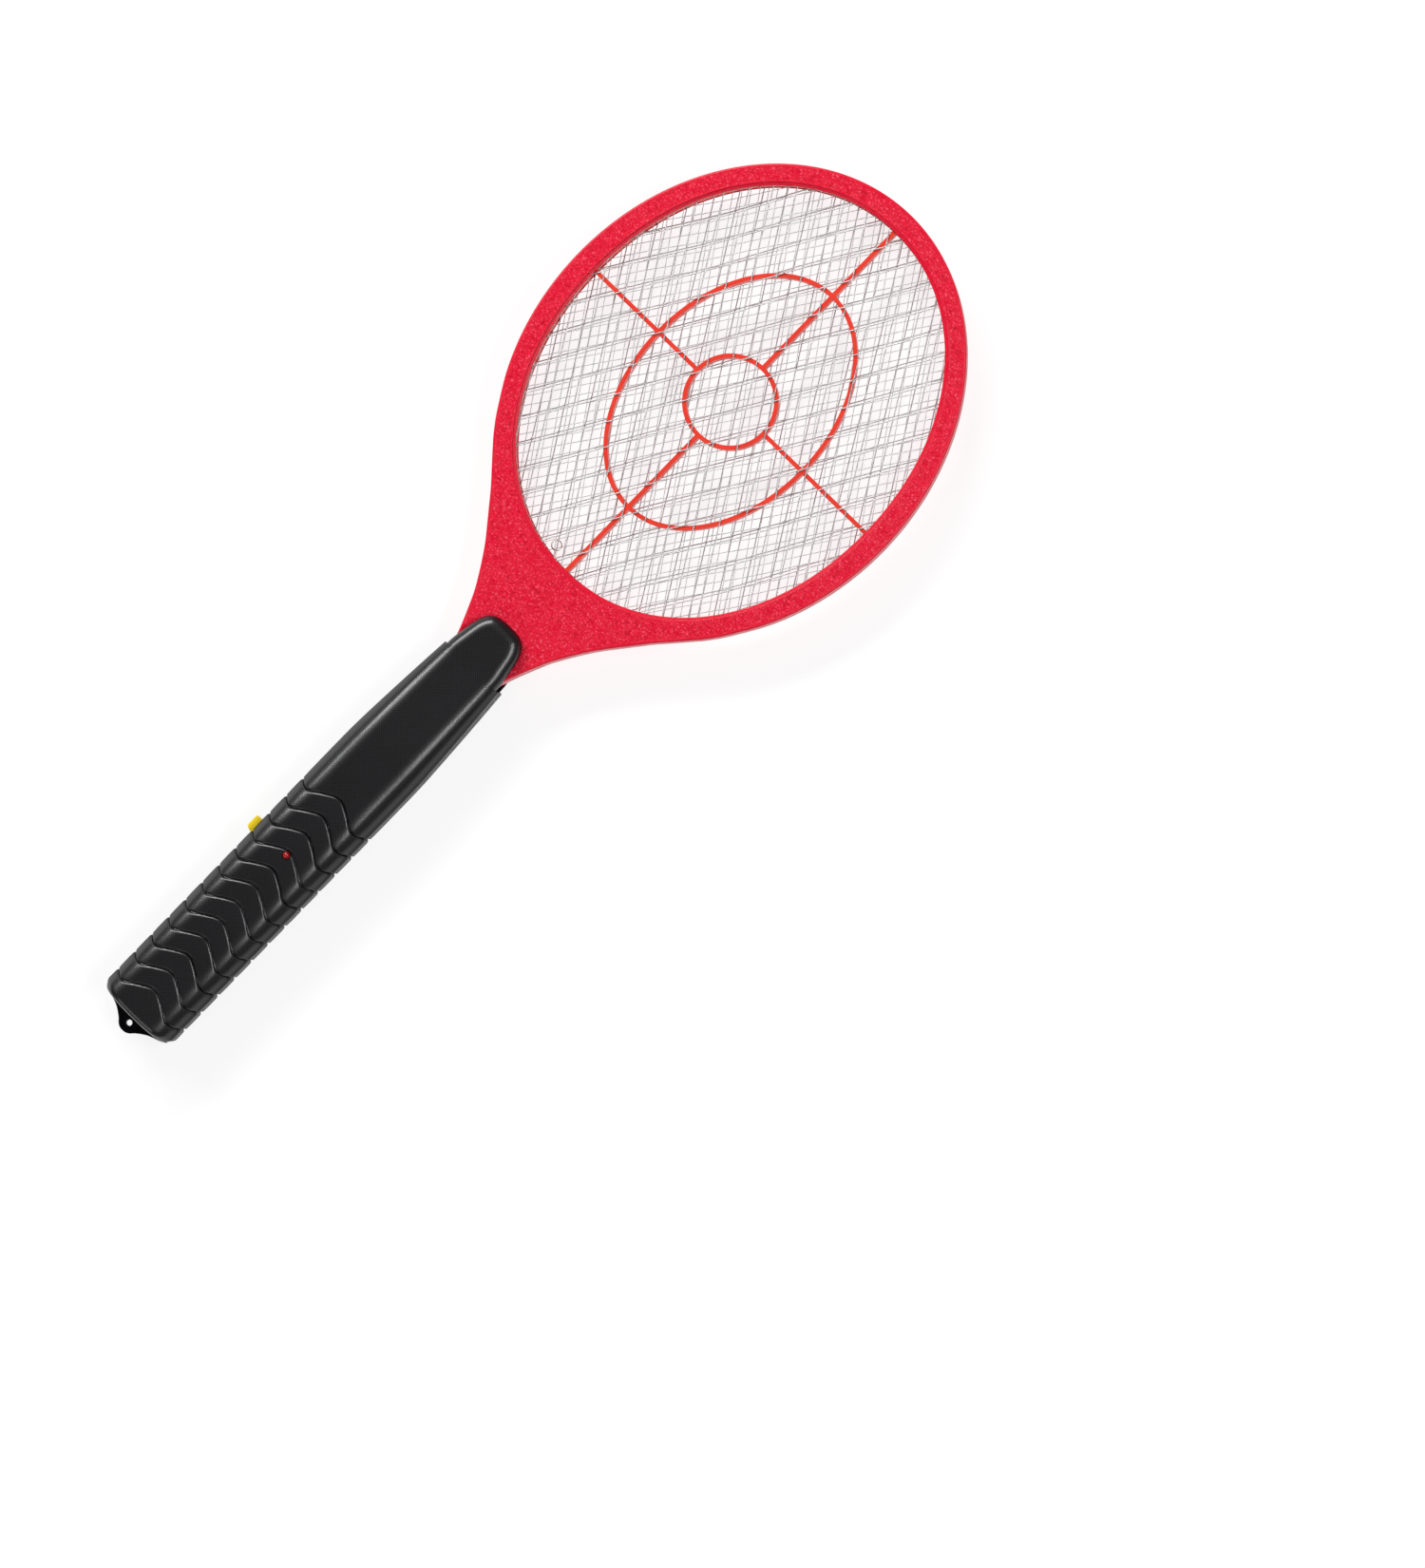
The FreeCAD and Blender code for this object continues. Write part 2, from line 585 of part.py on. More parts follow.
# ---- battery cover: flush plate, side rails behind the window's edges, end wall, latch tongue
plate = outer_rear.common(box(-cover_half, cover_half, 0, cover_y1, -1, 1.8))
end_wall = outer_rear.common(box(-cover_half, cover_half, 0, 8.7, -1, 4.9))
rails = []
for s in (-1, 1):
    x0, x1 = sorted((s * 10.8, s * cover_half))
    rails.append(box(x0, x1, 8.0, 69.2, 1.2, 4.9))
    x0, x1 = sorted((s * 10.8, s * 13.2))
    rails.append(box(x0, x1, 12.0, 69.2, 3.75, 4.9))
latch = box(-4, 4, 65.5, 69.8, 1.5, 3.2).fuse(box(-4, 4, 65.5, 73.0, 2.15, 3.2))
# finger ridges
cover = fuse([plate, end_wall, latch] + rails)
for g in grooves:
    cover = cover.cut(g)
for k in range(5):
    cover = cover.cut(box(-6.0, 6.0, 13.4 + 1.5 * k, 14.1 + 1.5 * k, -1, 0.45))
keep("battery_cover", cover)

# ---------------------------------------------------------------------------
# Button and switch
# ---------------------------------------------------------------------------
cap = box(btn_tip, -14.4, btn_y - btn_half, btn_y + btn_half, btn_z - btn_half, btn_z + btn_half)
picked = [e for e in cap.Edges if e.BoundBox.XMax < btn_tip + 0.01]
cap = cap.makeFillet(0.7, picked)
# the butt-side corner steps back
cap = cap.cut(box(btn_tip - 1, btn_tip + 1.1, btn_y - btn_half - 1, btn_y - btn_half + 1.3, 0, 30))
flange = box(-15.4, -14.4, btn_y - 4.6, btn_y + 4.6, btn_z - 4.6, btn_z + 4.6)
stem = xcyl(btn_y, btn_z, -14.5, -13.82, 1.6)
keep("push_button", fuse([cap, flange, stem]))

sw_z0, sw_z1 = board_z1, 17.0
plunger = box(-13.8, -10.4, btn_y - 1.25, btn_y + 1.25, btn_z - 1.25, btn_z + 1.25)
keep("switch_plunger", plunger)
body = box(-11.6, -4.6, btn_y - 3.5, btn_y + 3.5, sw_z0 + 0.02, sw_z1)
body = body.cut(box(-12, -8.4, btn_y - 1.6, btn_y + 1.6, btn_z - 1.6, btn_z + 1.6))
pins = fuse([cyl(x, y, board_z0 - 0.9, sw_z0 + 0.3, 0.4) for x in (-10.0, -6.2) for y in (btn_y - 2.4, btn_y + 2.4)])
keep("switch_body", body.fuse(pins))

# ---------------------------------------------------------------------------
# Circuit board and its components
# ---------------------------------------------------------------------------
board = box(-12.2, 12.2, 74.0, 130.0, board_z0, board_z1)
for x, y in board_screw:
    board = board.cut(cyl(x, y, board_z0 - 1, board_z1 + 1, 1.2))
for x in (-10.0, -6.2):
    for y in (btn_y - 2.4, btn_y + 2.4):
        board = board.cut(cyl(x, y, board_z0 - 1, board_z1 + 1, 0.45))
for x in (-1.27, 1.27):
    board = board.cut(cyl(x, led_y, board_z0 - 1, board_z1 + 1, 0.35))

led_body = cyl(0, led_y, 22.6, 26.6, led_r - 0.05).fuse(Part.makeSphere(led_r - 0.05, V(0, led_y, 26.6)))
led_body = led_body.fuse(cyl(0, led_y, 22.0, 22.8, led_r + 0.35))
led_pins = fuse([cyl(x, led_y, board_z0 - 0.6, 22.2, 0.25) for x in (-1.27, 1.27)])
keep("indicator_led", led_body.fuse(led_pins))

# transformer: E-core pair, bobbin and winding
tx, ty, tz = 2.0, 108.5, 17.5
core_out = box(tx - 7.5, tx + 7.5, ty - 6.5, ty + 6.5, tz - 2.4, tz + 2.4)
win = box(tx - 5.3, tx - 2.0, ty - 4.6, ty + 4.6, tz - 3, tz + 3).fuse(
    box(tx + 2.0, tx + 5.3, ty - 4.6, ty + 4.6, tz - 3, tz + 3))
keep("transformer_core", core_out.cut(win))
sleeve = box(tx - 2.7, tx + 2.7, ty - 4.4, ty + 4.4, tz - 3.1, tz + 3.1)
fl1 = box(tx - 5.1, tx + 5.1, ty - 4.5, ty - 3.8, tz - 5.3, tz + 5.3)
fl2 = box(tx - 5.1, tx + 5.1, ty + 3.8, ty + 4.5, tz - 5.3, tz + 5.3)
bob = fuse([sleeve, fl1, fl2]).cut(box(tx - 2.1, tx + 2.1, ty - 6, ty + 6, tz - 2.5, tz + 2.5))
bpins = []
for s in (-1, 1):
    bpins.append(box(tx - 5.1, tx + 5.1, ty + s * 7.7 - 1.1, ty + s * 7.7 + 1.1, board_z1 + 0.02, tz - 3.0))
    bpins.append(box(tx - 5.1, tx + 5.1, min(ty + s * 3.8, ty + s * 8.8), max(ty + s * 3.8, ty + s * 8.8), tz - 4.2, tz - 2.6))
    for k in (-3.6, 0.0, 3.6):
        bpins.append(cyl(tx + k, ty + s * 7.7, board_z0 - 0.9, board_z1 + 0.5, 0.35))
        board = board.cut(cyl(tx + k, ty + s * 7.7, board_z0 - 1, board_z1 + 1, 0.45))
keep("transformer_bobbin", fuse([bob] + bpins).removeSplitter())
wnd = box(tx - 4.9, tx + 4.9, ty - 3.75, ty + 3.75, tz - 5.1, tz + 5.1)
wnd = wnd.makeFillet(1.4, [e for e in wnd.Edges if abs(e.BoundBox.YLength - 7.5) < 0.01])
wnd = wnd.cut(box(tx - 2.75, tx + 2.75, ty - 6, ty + 6, tz - 3.15, tz + 3.15))
keep("transformer_winding", wnd)


def leads(points):
    global board
    out = []
    for x, y in points:
        out.append(cyl(x, y, board_z0 - 0.8, board_z1 + 0.6, 0.3))
        board = board.cut(cyl(x, y, board_z0 - 1, board_z1 + 1, 0.4))
    return out


# high-voltage film capacitor
hvc = box(-11.6, -6.4, 100.5, 112.5, board_z1 + 0.3, 21.0)
hvc = hvc.makeFillet(1.2, [e for e in hvc.Edges if abs(e.BoundBox.ZLength) > 9])
keep("hv_capacitor", fuse([hvc] + leads([(-9.0, 102.0), (-9.0, 111.0)])))

# two ceramic disc capacitors
discs = []
for y in (121.5, 125.5):
    d = Part.makeCylinder(3.6, 2.2, V(4.0, y - 1.1, 16.0), V(0, 1, 0))
    d = d.makeFillet(0.8, [e for e in d.Edges if e.Length > 20])
    discs.append(fuse([d, cyl(1.8, y, board_z0 - 0.8, 14.5, 0.3), cyl(6.2, y, board_z0 - 0.8, 14.5, 0.3)]))
    for x in (1.8, 6.2):
        board = board.cut(cyl(x, y, board_z0 - 1, board_z1 + 1, 0.4))
keep("ceramic_capacitors", Part.makeCompound(discs))

# three rectifier diodes, lying across the board
dio = []
for y in (116.0, 119.5, 123.0):
    b = Part.makeCylinder(1.3, 5.0, V(-10.2, y - 0.4, 13.1), V(1, 0, 0))
    lead_l = fuse([Part.makeCylinder(0.3, 1.4, V(-11.5, y - 0.4, 13.1), V(1, 0, 0)), cyl(-11.4, y - 0.4, board_z0 - 0.8, 13.2, 0.3)])
    lead_r = fuse([Part.makeCylinder(0.3, 1.4, V(-5.3, y - 0.4, 13.1), V(1, 0, 0)), cyl(-4.0, y - 0.4, board_z0 - 0.8, 13.2, 0.3)])
    dio.append(fuse([b, lead_l, lead_r]))
    for x in (-11.4, -4.0):
        board = board.cut(cyl(x, y - 0.4, board_z0 - 1, board_z1 + 1, 0.4))
keep("rectifier_diodes", Part.makeCompound(dio))

# three resistors near the switch
res = []
for y in (82.0, 85.0, 88.0):
    b = fuse([Part.makeCylinder(0.95, 6.0, V(-3.0, y, 12.8), V(1, 0, 0)),
              Part.makeCylinder(1.15, 1.2, V(-3.0, y, 12.8), V(1, 0, 0)),
              Part.makeCylinder(1.15, 1.2, V(1.8, y, 12.8), V(1, 0, 0))])
    ll = fuse([Part.makeCylinder(0.25, 1.6, V(-4.5, y, 12.8), V(1, 0, 0)), cyl(-4.4, y, board_z0 - 0.8, 12.9, 0.25)])
    lr = fuse([Part.makeCylinder(0.25, 1.6, V(2.9, y, 12.8), V(1, 0, 0)), cyl(4.4, y, board_z0 - 0.8, 12.9, 0.25)])
    res.append(fuse([b, ll, lr]))
    for x in (-4.4, 4.4):
        board = board.cut(cyl(x, y, board_z0 - 1, board_z1 + 1, 0.35))
keep("resistors", Part.makeCompound(res))

# transistor: flat-faced case on three legs
tr = cyl(8.6, 92.5, 15.0, 19.6, 2.4).cut(box(5, 12, 93.9, 97, 14, 21))
legs = []
for k in (-1.27, 0, 1.27):
    legs.append(cyl(8.6 + k, 92.3, board_z0 - 0.8, 15.3, 0.25))
    board = board.cut(cyl(8.6 + k, 92.3, board_z0 - 1, board_z1 + 1, 0.35))
keep("transistor", fuse([tr] + legs))
keep("circuit_board", board)

# ---------------------------------------------------------------------------
# Battery bay: two cells head to tail, plates, springs
# ---------------------------------------------------------------------------
def cell(x, up):
    """A cell from its negative face; up says that the positive nub points to +Y."""
    can = Part.makeCylinder(cell_r, cell_len - 1.2, V(0, 0, 0), V(0, 1, 0))
    can = can.makeFillet(0.6, [e for e in can.Edges if e.Length > 30])
    step = Part.makeCylinder(2.75, 1.4, V(0, cell_len - 1.4, 0), V(0, 1, 0))
    s = can.fuse(step)
    if not up:
        s.rotate(V(0, 0, 0), V(0, 0, 1), 180)
    return s


left = cell(0, True)
left.translate(V(-cell_x, bay_y1 - cell_len, cell_z))
keep("battery_left", left)
right = cell(0, False)
right.translate(V(cell_x, bay_y0 + cell_len, cell_z))
keep("battery_right", right)

bridge = box(-13.2, 13.2, bay_y0 - 0.45, bay_y0 - 0.05, cell_z - 5.6, cell_z + 5.6)
keep("battery_bridge", bridge.makeFillet(1.5, [e for e in bridge.Edges if abs(e.BoundBox.YLength - 0.4) < 0.01]))
pos = box(-13.2, -1.6, bay_y1 + 0.05, bay_y1 + 0.45, cell_z - 5.6, cell_z + 5.6)
pos = pos.fuse(box(-8.6, -6.4, bay_y1 + 0.05, bay_y1 + 0.45, cell_z + 5.4, cell_z + 8.4))
keep("positive_contact", pos)
neg = box(1.6, 13.2, bay_y1 + 0.05, bay_y1 + 0.45, cell_z - 5.6, cell_z + 5.6)
neg = neg.fuse(box(6.4, 8.6, bay_y1 + 0.05, bay_y1 + 0.45, cell_z + 5.4, cell_z + 8.4))
keep("negative_contact", neg)


def spring(x, y0, y1, sgn):
    """Coil of three turns, swept along arcs that join tangentially."""
    free = y1 - y0 - 0.9
    turns, per, rad = 3, 8, 3.3

    def at(t):
        a = 2 * math.pi * t
        return V(rad * math.cos(a), rad * math.sin(a), free / turns * t)

    edges = []
    for i in range(turns * per):
        edges.append(Part.Arc(at(i / per), at((i + 0.5) / per), at((i + 1) / per)).toShape())
    prof = Part.Wire([Part.makeCircle(0.4, at(0), at(0.001) - at(0))])
    s = Part.Wire(edges).makePipeShell([prof], True, True)
    s.rotate(V(0, 0, 0), V(1, 0, 0), -90)
    s.translate(V(x, y0 + 0.45, cell_z))
    return s


springs = [spring(-cell_x, bay_y0, bay_y1 - cell_len, 1), spring(cell_x, bay_y0 + cell_len, bay_y1, -1)]
keep("battery_springs", Part.makeCompound(springs))

keep("battery_lead_red", tube_path([(-7.5, bay_y1 + 1.1, cell_z + 7.4), (-7.5, bay_y1 + 5.5, cell_z + 7.4), (-7.5, 75.0, 16.0),
                                    (-7.5, 78.5, 12.3), (-7.5, 82.0, 12.3)], 0.6, 0.45))
keep("battery_lead_black", tube_path([(7.5, bay_y1 + 1.1, cell_z + 7.4), (7.5, bay_y1 + 5.5, cell_z + 7.4), (5.4, 75.0, 16.0),
                                      (5.2, 78.2, 12.3), (5.2, 81.0, 12.3)], 0.6, 0.45))


# ---------------------------------------------------------------------------
# Screws, put in from the back
# ---------------------------------------------------------------------------
def screw(x, y, z_head, head_h, head_r, shank_r, tip_z):
    h = cyl(x, y, z_head, z_head + head_h, head_r)
    h = h.makeFillet(min(0.7, head_h * 0.45), [e for e in h.Edges if abs(e.BoundBox.ZMax - z_head) < 1e-4])
    s = cyl(x, y, z_head + head_h - 0.2, tip_z - 1.2, shank_r)
    c = Part.makeCone(shank_r, 0.3, 1.2, V(x, y, tip_z - 1.2), V(0, 0, 1))
    out = fuse([h, s, c])
    a = box(x - head_r * 0.62, x + head_r * 0.62, y - 0.35, y + 0.35, z_head - 1, z_head + 0.9)
    b = box(x - 0.35, x + 0.35, y - head_r * 0.62, y + head_r * 0.62, z_head - 1, z_head + 0.9)
    return out.cut(a).cut(b)


keep("shell_screws", Part.makeCompound([screw(x, y, 1.15, 2.0, 2.6, 1.35, 17.5) for x, y in shell_screw]))
keep("neck_screws", Part.makeCompound([screw(x, y, 1.15, 2.0, 2.6, 1.35, 23.0) for x, y in neck_screw]))
keep("board_screws", Part.makeCompound([screw(x, y, board_z0 - 1.75, 1.7, 2.1, 1.1, 17.0) for x, y in board_screw]))
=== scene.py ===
import math
import bpy
import bmesh
import numpy as np
from mathutils import Vector, Matrix, kdtree
from mathutils.geometry import delaunay_2d_cdt


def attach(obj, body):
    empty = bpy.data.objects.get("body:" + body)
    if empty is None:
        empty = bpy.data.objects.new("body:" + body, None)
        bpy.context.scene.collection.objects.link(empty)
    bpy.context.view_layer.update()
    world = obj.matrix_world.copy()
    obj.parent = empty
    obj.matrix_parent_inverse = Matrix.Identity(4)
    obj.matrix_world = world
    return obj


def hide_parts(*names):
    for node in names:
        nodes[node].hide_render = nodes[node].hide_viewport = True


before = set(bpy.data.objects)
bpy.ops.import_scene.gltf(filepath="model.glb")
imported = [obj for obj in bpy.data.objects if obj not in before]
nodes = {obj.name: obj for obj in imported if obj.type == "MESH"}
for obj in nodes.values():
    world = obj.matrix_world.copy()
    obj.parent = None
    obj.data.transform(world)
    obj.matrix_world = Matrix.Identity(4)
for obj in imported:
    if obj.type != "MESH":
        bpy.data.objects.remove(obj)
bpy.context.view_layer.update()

MM = 0.001
LEN = 440.3          # mm, lug tip to head tip; the row frame's origin is at its middle
HALF = LEN / 2
MID = 13.5           # parting plane
HCY = 340.0          # centre of the head
rng = np.random.RandomState(7)


# ---------------------------------------------------------------- helpers
def new_piece(name, verts_mm, faces, body, mats, smooth=True, replaces=None, sharp=None):
    v = np.array(verts_mm, float).reshape(-1, 3).copy()
    v[:, 1] -= HALF
    v *= MM
    me = bpy.data.meshes.new(name)
    me.from_pydata(v.tolist(), [], [tuple(int(i) for i in f) for f in faces])
    me.validate()
    me.update()
    ob = bpy.data.objects.new(name, me)
    bpy.context.scene.collection.objects.link(ob)
    for m in (mats if isinstance(mats, (list, tuple)) else [mats]):
        me.materials.append(m)
    if smooth:
        me.shade_smooth()
        if sharp:
            me.set_sharp_from_angle(angle=math.radians(sharp))
    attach(ob, body)
    if replaces:
        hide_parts(*replaces)
    return ob


def grid_faces(rows, cols, closed=False, base=0, flip=False):
    f = []
    last = cols if closed else cols - 1
    for i in range(rows - 1):
        for j in range(last):
            a = base + i * cols + j
            b = base + i * cols + (j + 1) % cols
            c = base + (i + 1) * cols + (j + 1) % cols
            d = base + (i + 1) * cols + j
            f.append((a, d, c, b) if flip else (a, b, c, d))
    return f


def apply_mods(ob):
    dg = bpy.context.evaluated_depsgraph_get()
    me = bpy.data.meshes.new_from_object(ob.evaluated_get(dg), preserve_all_data_layers=True, depsgraph=dg)
    old = ob.data
    ob.modifiers.clear()
    ob.data = me
    me.name = old.name
    bpy.data.meshes.remove(old)
    return ob


def outward(ob):
    bm = bmesh.new()
    bm.from_mesh(ob.data)
    bmesh.ops.remove_doubles(bm, verts=bm.verts, dist=2e-6)
    bmesh.ops.dissolve_degenerate(bm, edges=bm.edges, dist=1e-7)
    bmesh.ops.recalc_face_normals(bm, faces=bm.faces)
    bm.to_mesh(ob.data)
    bm.free()
    ob.data.update()


# ---------------------------------------------------------------- materials
def srgb(r, g, b):
    def c(x):
        x /= 255.0
        return x / 12.92 if x <= 0.04045 else ((x + 0.055) / 1.055) ** 2.4
    return (c(r), c(g), c(b), 1.0)


class Mat:
    """Small helper that builds a node material in object space (metres)."""

    def __init__(self, name, base, rough=0.5, metallic=0.0, spec=None, coat=None):
        self.m = bpy.data.materials.new(name)
        self.m.use_nodes = True
        self.nt = self.m.node_tree
        self.bsdf = self.nt.nodes["Principled BSDF"]
        self.bsdf.inputs["Base Color"].default_value = base
        self.bsdf.inputs["Roughness"].default_value = rough
        self.bsdf.inputs["Metallic"].default_value = metallic
        if spec is not None:
            self.bsdf.inputs["Specular IOR Level"].default_value = spec
        if coat is not None:
            self.bsdf.inputs["Coat Weight"].default_value = coat[0]
            self.bsdf.inputs["Coat Roughness"].default_value = coat[1]
        self.base = base
        self.tc = self.nt.nodes.new("ShaderNodeTexCoord")
        self.last_normal = None

    def n(self, kind, **kw):
        node = self.nt.nodes.new(kind)
        for k, v in kw.items():
            setattr(node, k, v)
        return node

    def link(self, a, b):
        self.nt.links.new(a, b)

    def coords(self, scale=(1, 1, 1), rot=(0, 0, 0)):
        mp = self.n("ShaderNodeMapping")
        mp.inputs["Scale"].default_value = scale
        mp.inputs["Rotation"].default_value = rot
        self.link(self.tc.outputs["Object"], mp.inputs["Vector"])
        return mp.outputs["Vector"]

    def noise(self, scale, detail=2.0, rough=0.5, vec=None, distortion=0.0):
        t = self.n("ShaderNodeTexNoise")
        t.inputs["Scale"].default_value = scale
        t.inputs["Detail"].default_value = detail
        t.inputs["Roughness"].default_value = rough
        t.inputs["Distortion"].default_value = distortion
        self.link(vec or self.tc.outputs["Object"], t.inputs["Vector"])
        return t.outputs["Fac"]

    def voronoi(self, scale, feature="F1", vec=None, out="Distance", randomness=1.0):
        t = self.n("ShaderNodeTexVoronoi")
        t.feature = feature
        t.inputs["Scale"].default_value = scale
        t.inputs["Randomness"].default_value = randomness
        self.link(vec or self.tc.outputs["Object"], t.inputs["Vector"])
        return t.outputs[out]

    def ramp(self, fac, stops):
        r = self.n("ShaderNodeValToRGB")
        e = r.color_ramp.elements
        e[0].position, e[0].color = stops[0]
        e[1].position, e[1].color = stops[-1]
        for p, c in stops[1:-1]:
            x = e.new(p)
            x.color = c
        self.link(fac, r.inputs["Fac"])
        return r.outputs["Color"]

    def remap(self, fac, lo, hi, a, b):
        r = self.n("ShaderNodeMapRange")
        r.inputs["From Min"].default_value = lo
        r.inputs["From Max"].default_value = hi
        r.inputs["To Min"].default_value = a
        r.inputs["To Max"].default_value = b
        self.link(fac, r.inputs["Value"])
        return r.outputs["Result"]

    def math(self, op, a, b=None):
        r = self.n("ShaderNodeMath", operation=op)
        for k, x in enumerate((a, b)):
            if x is None:
                continue
            if isinstance(x, (int, float)):
                r.inputs[k].default_value = x
            else:
                self.link(x, r.inputs[k])
        return r.outputs[0]

    def bump(self, height, dist_mm, strength=1.0):
        b = self.n("ShaderNodeBump")
        b.inputs["Strength"].default_value = strength
        b.inputs["Distance"].default_value = dist_mm * MM
        self.link(height, b.inputs["Height"])
        if self.last_normal is not None:
            self.link(self.last_normal, b.inputs["Normal"])
        self.last_normal = b.outputs["Normal"]
        self.link(self.last_normal, self.bsdf.inputs["Normal"])

    def color(self, sock):
        self.link(sock, self.bsdf.inputs["Base Color"])

    def rough(self, sock):
        self.link(sock, self.bsdf.inputs["Roughness"])


def shade(c, k):
    return (c[0] * k, c[1] * k, c[2] * k, 1.0)


def mat_red():
    base = srgb(222, 22, 52)
    M = Mat("red_grain_painted_light", base, 0.36, spec=0.42)
    at = M.n("ShaderNodeAttribute")
    at.attribute_name = "grain"
    g = at.outputs["Fac"]
    n1 = M.noise(1100, 3, 0.6)
    n2 = M.noise(260, 2, 0.5)
    cells = M.voronoi(980, "F1", None)
    h = M.math("ADD", M.math("MULTIPLY", g, 0.66), M.math("MULTIPLY", n1, 0.40))
    h = M.math("ADD", h, M.math("MULTIPLY", cells, 0.16))
    # the walls, outer and inner, are plain and painted a deeper red than the face: painted shade on the walls
    sep = M.n("ShaderNodeSeparateXYZ")
    M.link(M.tc.outputs["Object"], sep.inputs["Vector"])
    away = M.math("ABSOLUTE", M.math("SUBTRACT", sep.outputs["Z"], 0.0135))
    h = M.math("SUBTRACT", h, M.remap(away, 0.0046, 0.0056, 0.26, 0.0))
    M.bump(n1, 0.06, 0.8)
    M.bump(cells, 0.05, 0.7)
    fine = M.noise(2900, 2, 0.6)
    M.bump(fine, 0.012, 0.6)
    # colour follows the grain height: the grain's tone, with creases painted darker as painted shade and ridge tops
    # painted light pink as painted highlight
    M.color(M.ramp(h, [(0.20, srgb(170, 0, 32)), (0.50, srgb(220, 5, 44)), (0.80, srgb(236, 20, 56)), (0.98, srgb(246, 80, 108))]))
    M.rough(M.remap(n2, 0.3, 0.7, 0.28, 0.42))
    return M.m


def mat_orange():
    base = srgb(240, 62, 44)
    M = Mat("spider_orange", base, 0.38, spec=0.4)
    n = M.noise(500, 3, 0.6)
    M.bump(n, 0.03, 0.5)
    M.color(M.ramp(M.noise(120, 2), [(0.3, shade(base, 0.88)), (0.7, base)]))
    M.rough(M.remap(n, 0.3, 0.7, 0.30, 0.46))
    return M.m


def mat_black():
    base = srgb(8, 8, 11)
    M = Mat("black_satin", base, 0.30, spec=0.7, coat=(0.22, 0.24))
    # fine moulded stipple in slanting rows, a little over half a millimetre apart
    vec = M.coords((1, 1, 1), (0, 0, math.radians(45)))
    t = M.n("ShaderNodeTexVoronoi")
    t.voronoi_dimensions = "2D"
    t.inputs["Scale"].default_value = 1500
    t.inputs["Randomness"].default_value = 0.15
    M.link(vec, t.inputs["Vector"])
    v = t.outputs["Distance"]
    n = M.noise(2300, 2, 0.6)
    h = M.math("ADD", M.math("MULTIPLY", v, -1.0), M.math("MULTIPLY", n, 0.3))
    M.bump(h, 0.022, 0.7)
    big = M.noise(60, 3, 0.6)
    M.color(M.ramp(big, [(0.3, srgb(6, 6, 9)), (0.7, srgb(11, 11, 15))]))
    M.rough(M.remap(v, 0.10, 0.60, 0.22, 0.42))
    # the flat faces are satin and the walls between them matt
    sep = M.n("ShaderNodeSeparateXYZ")
    M.link(M.tc.outputs["Object"], sep.inputs["Vector"])
    away = M.math("ABSOLUTE", M.math("SUBTRACT", sep.outputs["Z"], 0.0135))
    M.link(M.remap(away, 0.0075, 0.0108, 0.05, 0.70), M.bsdf.inputs["Specular IOR Level"])
    M.link(M.remap(away, 0.0070, 0.0108, 0.0, 0.22), M.bsdf.inputs["Coat Weight"])
    return M.m


def mat_net(name, g, rough):
    base = (g, g, g * 1.01, 1)
    M = Mat(name, base, rough, metallic=0.7, spec=0.6)
    n = M.noise(900, 3, 0.6)
    M.color(M.ramp(n, [(0.25, shade(base, 0.75)), (0.75, shade(base, 1.15))]))
    M.bump(M.noise(1800, 2, 0.6), 0.02, 0.5)
    M.rough(M.remap(n, 0.3, 0.7, rough * 0.8, rough * 1.25))
    return M.m


def mat_plain(name, base, rough=0.45, metallic=0.0, spec=0.5, bump=0.015, scale=900, vary=0.12, streak=None):
    M = Mat(name, base, rough, metallic, spec)
    vec = M.coords(streak) if streak else None
    n = M.noise(scale, 3, 0.6, vec)
    M.bump(n, bump, 0.6)
    M.color(M.ramp(M.noise(scale * 0.2, 2, 0.5, vec), [(0.3, shade(base, 1 - vary)), (0.7, shade(base, 1 + vary * 0.5))]))
    M.rough(M.remap(n, 0.3, 0.7, rough * 0.85, rough * 1.2))
    return M.m


RED = mat_red()
ORANGE = mat_orange()
BLACK = mat_black()
NET_F = mat_net("net_front", 0.62, 0.34)
NET_M = mat_net("net_fine", 0.72, 0.40)
NET_R = mat_net("net_rear", 0.50, 0.36)
YELLOW = mat_plain("button_yellow", srgb(252, 220, 36), 0.36, bump=0.02, scale=700)
STEEL = mat_plain("plated_steel", (0.62, 0.62, 0.60, 1), 0.28, 1.0, bump=0.01)
SCREW = mat_plain("screw_zinc", (0.50, 0.50, 0.49, 1), 0.34, 1.0, bump=0.02)
BOARD = mat_plain("phenolic_board", srgb(150, 104, 48), 0.55, bump=0.02, scale=1200, streak=(1, 0.2, 1))
FERRITE = mat_plain("ferrite", srgb(52, 52, 56), 0.5, bump=0.03, scale=1500)
WHITE = mat_plain("bobbin_white", srgb(222, 216, 200), 0.45)
COPPER = mat_plain("copper_winding", (0.62, 0.24, 0.10, 1), 0.32, 1.0, bump=0.05, scale=1500, streak=(0.15, 3.0, 0.15))
FILM = mat_plain("film_capacitor", srgb(150, 60, 34), 0.35)
CERAMIC = mat_plain("ceramic_blue", srgb(46, 84, 160), 0.4)
DARK = mat_plain("moulded_dark", srgb(34, 34, 36), 0.5, bump=0.02)
TAN = mat_plain("resistor_tan", srgb(196, 160, 110), 0.4)
WRAP = mat_plain("cell_wrap", srgb(70, 112, 150), 0.30, 0.35, bump=0.006, scale=400)
WIRE_R = mat_plain("wire_red", srgb(190, 24, 24), 0.5)
WIRE_K = mat_plain("wire_black", srgb(24, 24, 26), 0.5)
WIRE_W = mat_plain("wire_white", srgb(225, 225, 220), 0.5)


def mat_led():
    M = Mat("led_red", srgb(150, 6, 12), 0.12, spec=0.6)
    M.bsdf.inputs["Coat Weight"].default_value = 0.6
    M.bsdf.inputs["Coat Roughness"].default_value = 0.05
    n = M.noise(700, 2)
    M.color(M.ramp(n, [(0.3, srgb(120, 3, 8)), (0.7, srgb(188, 16, 22))]))
    return M.m


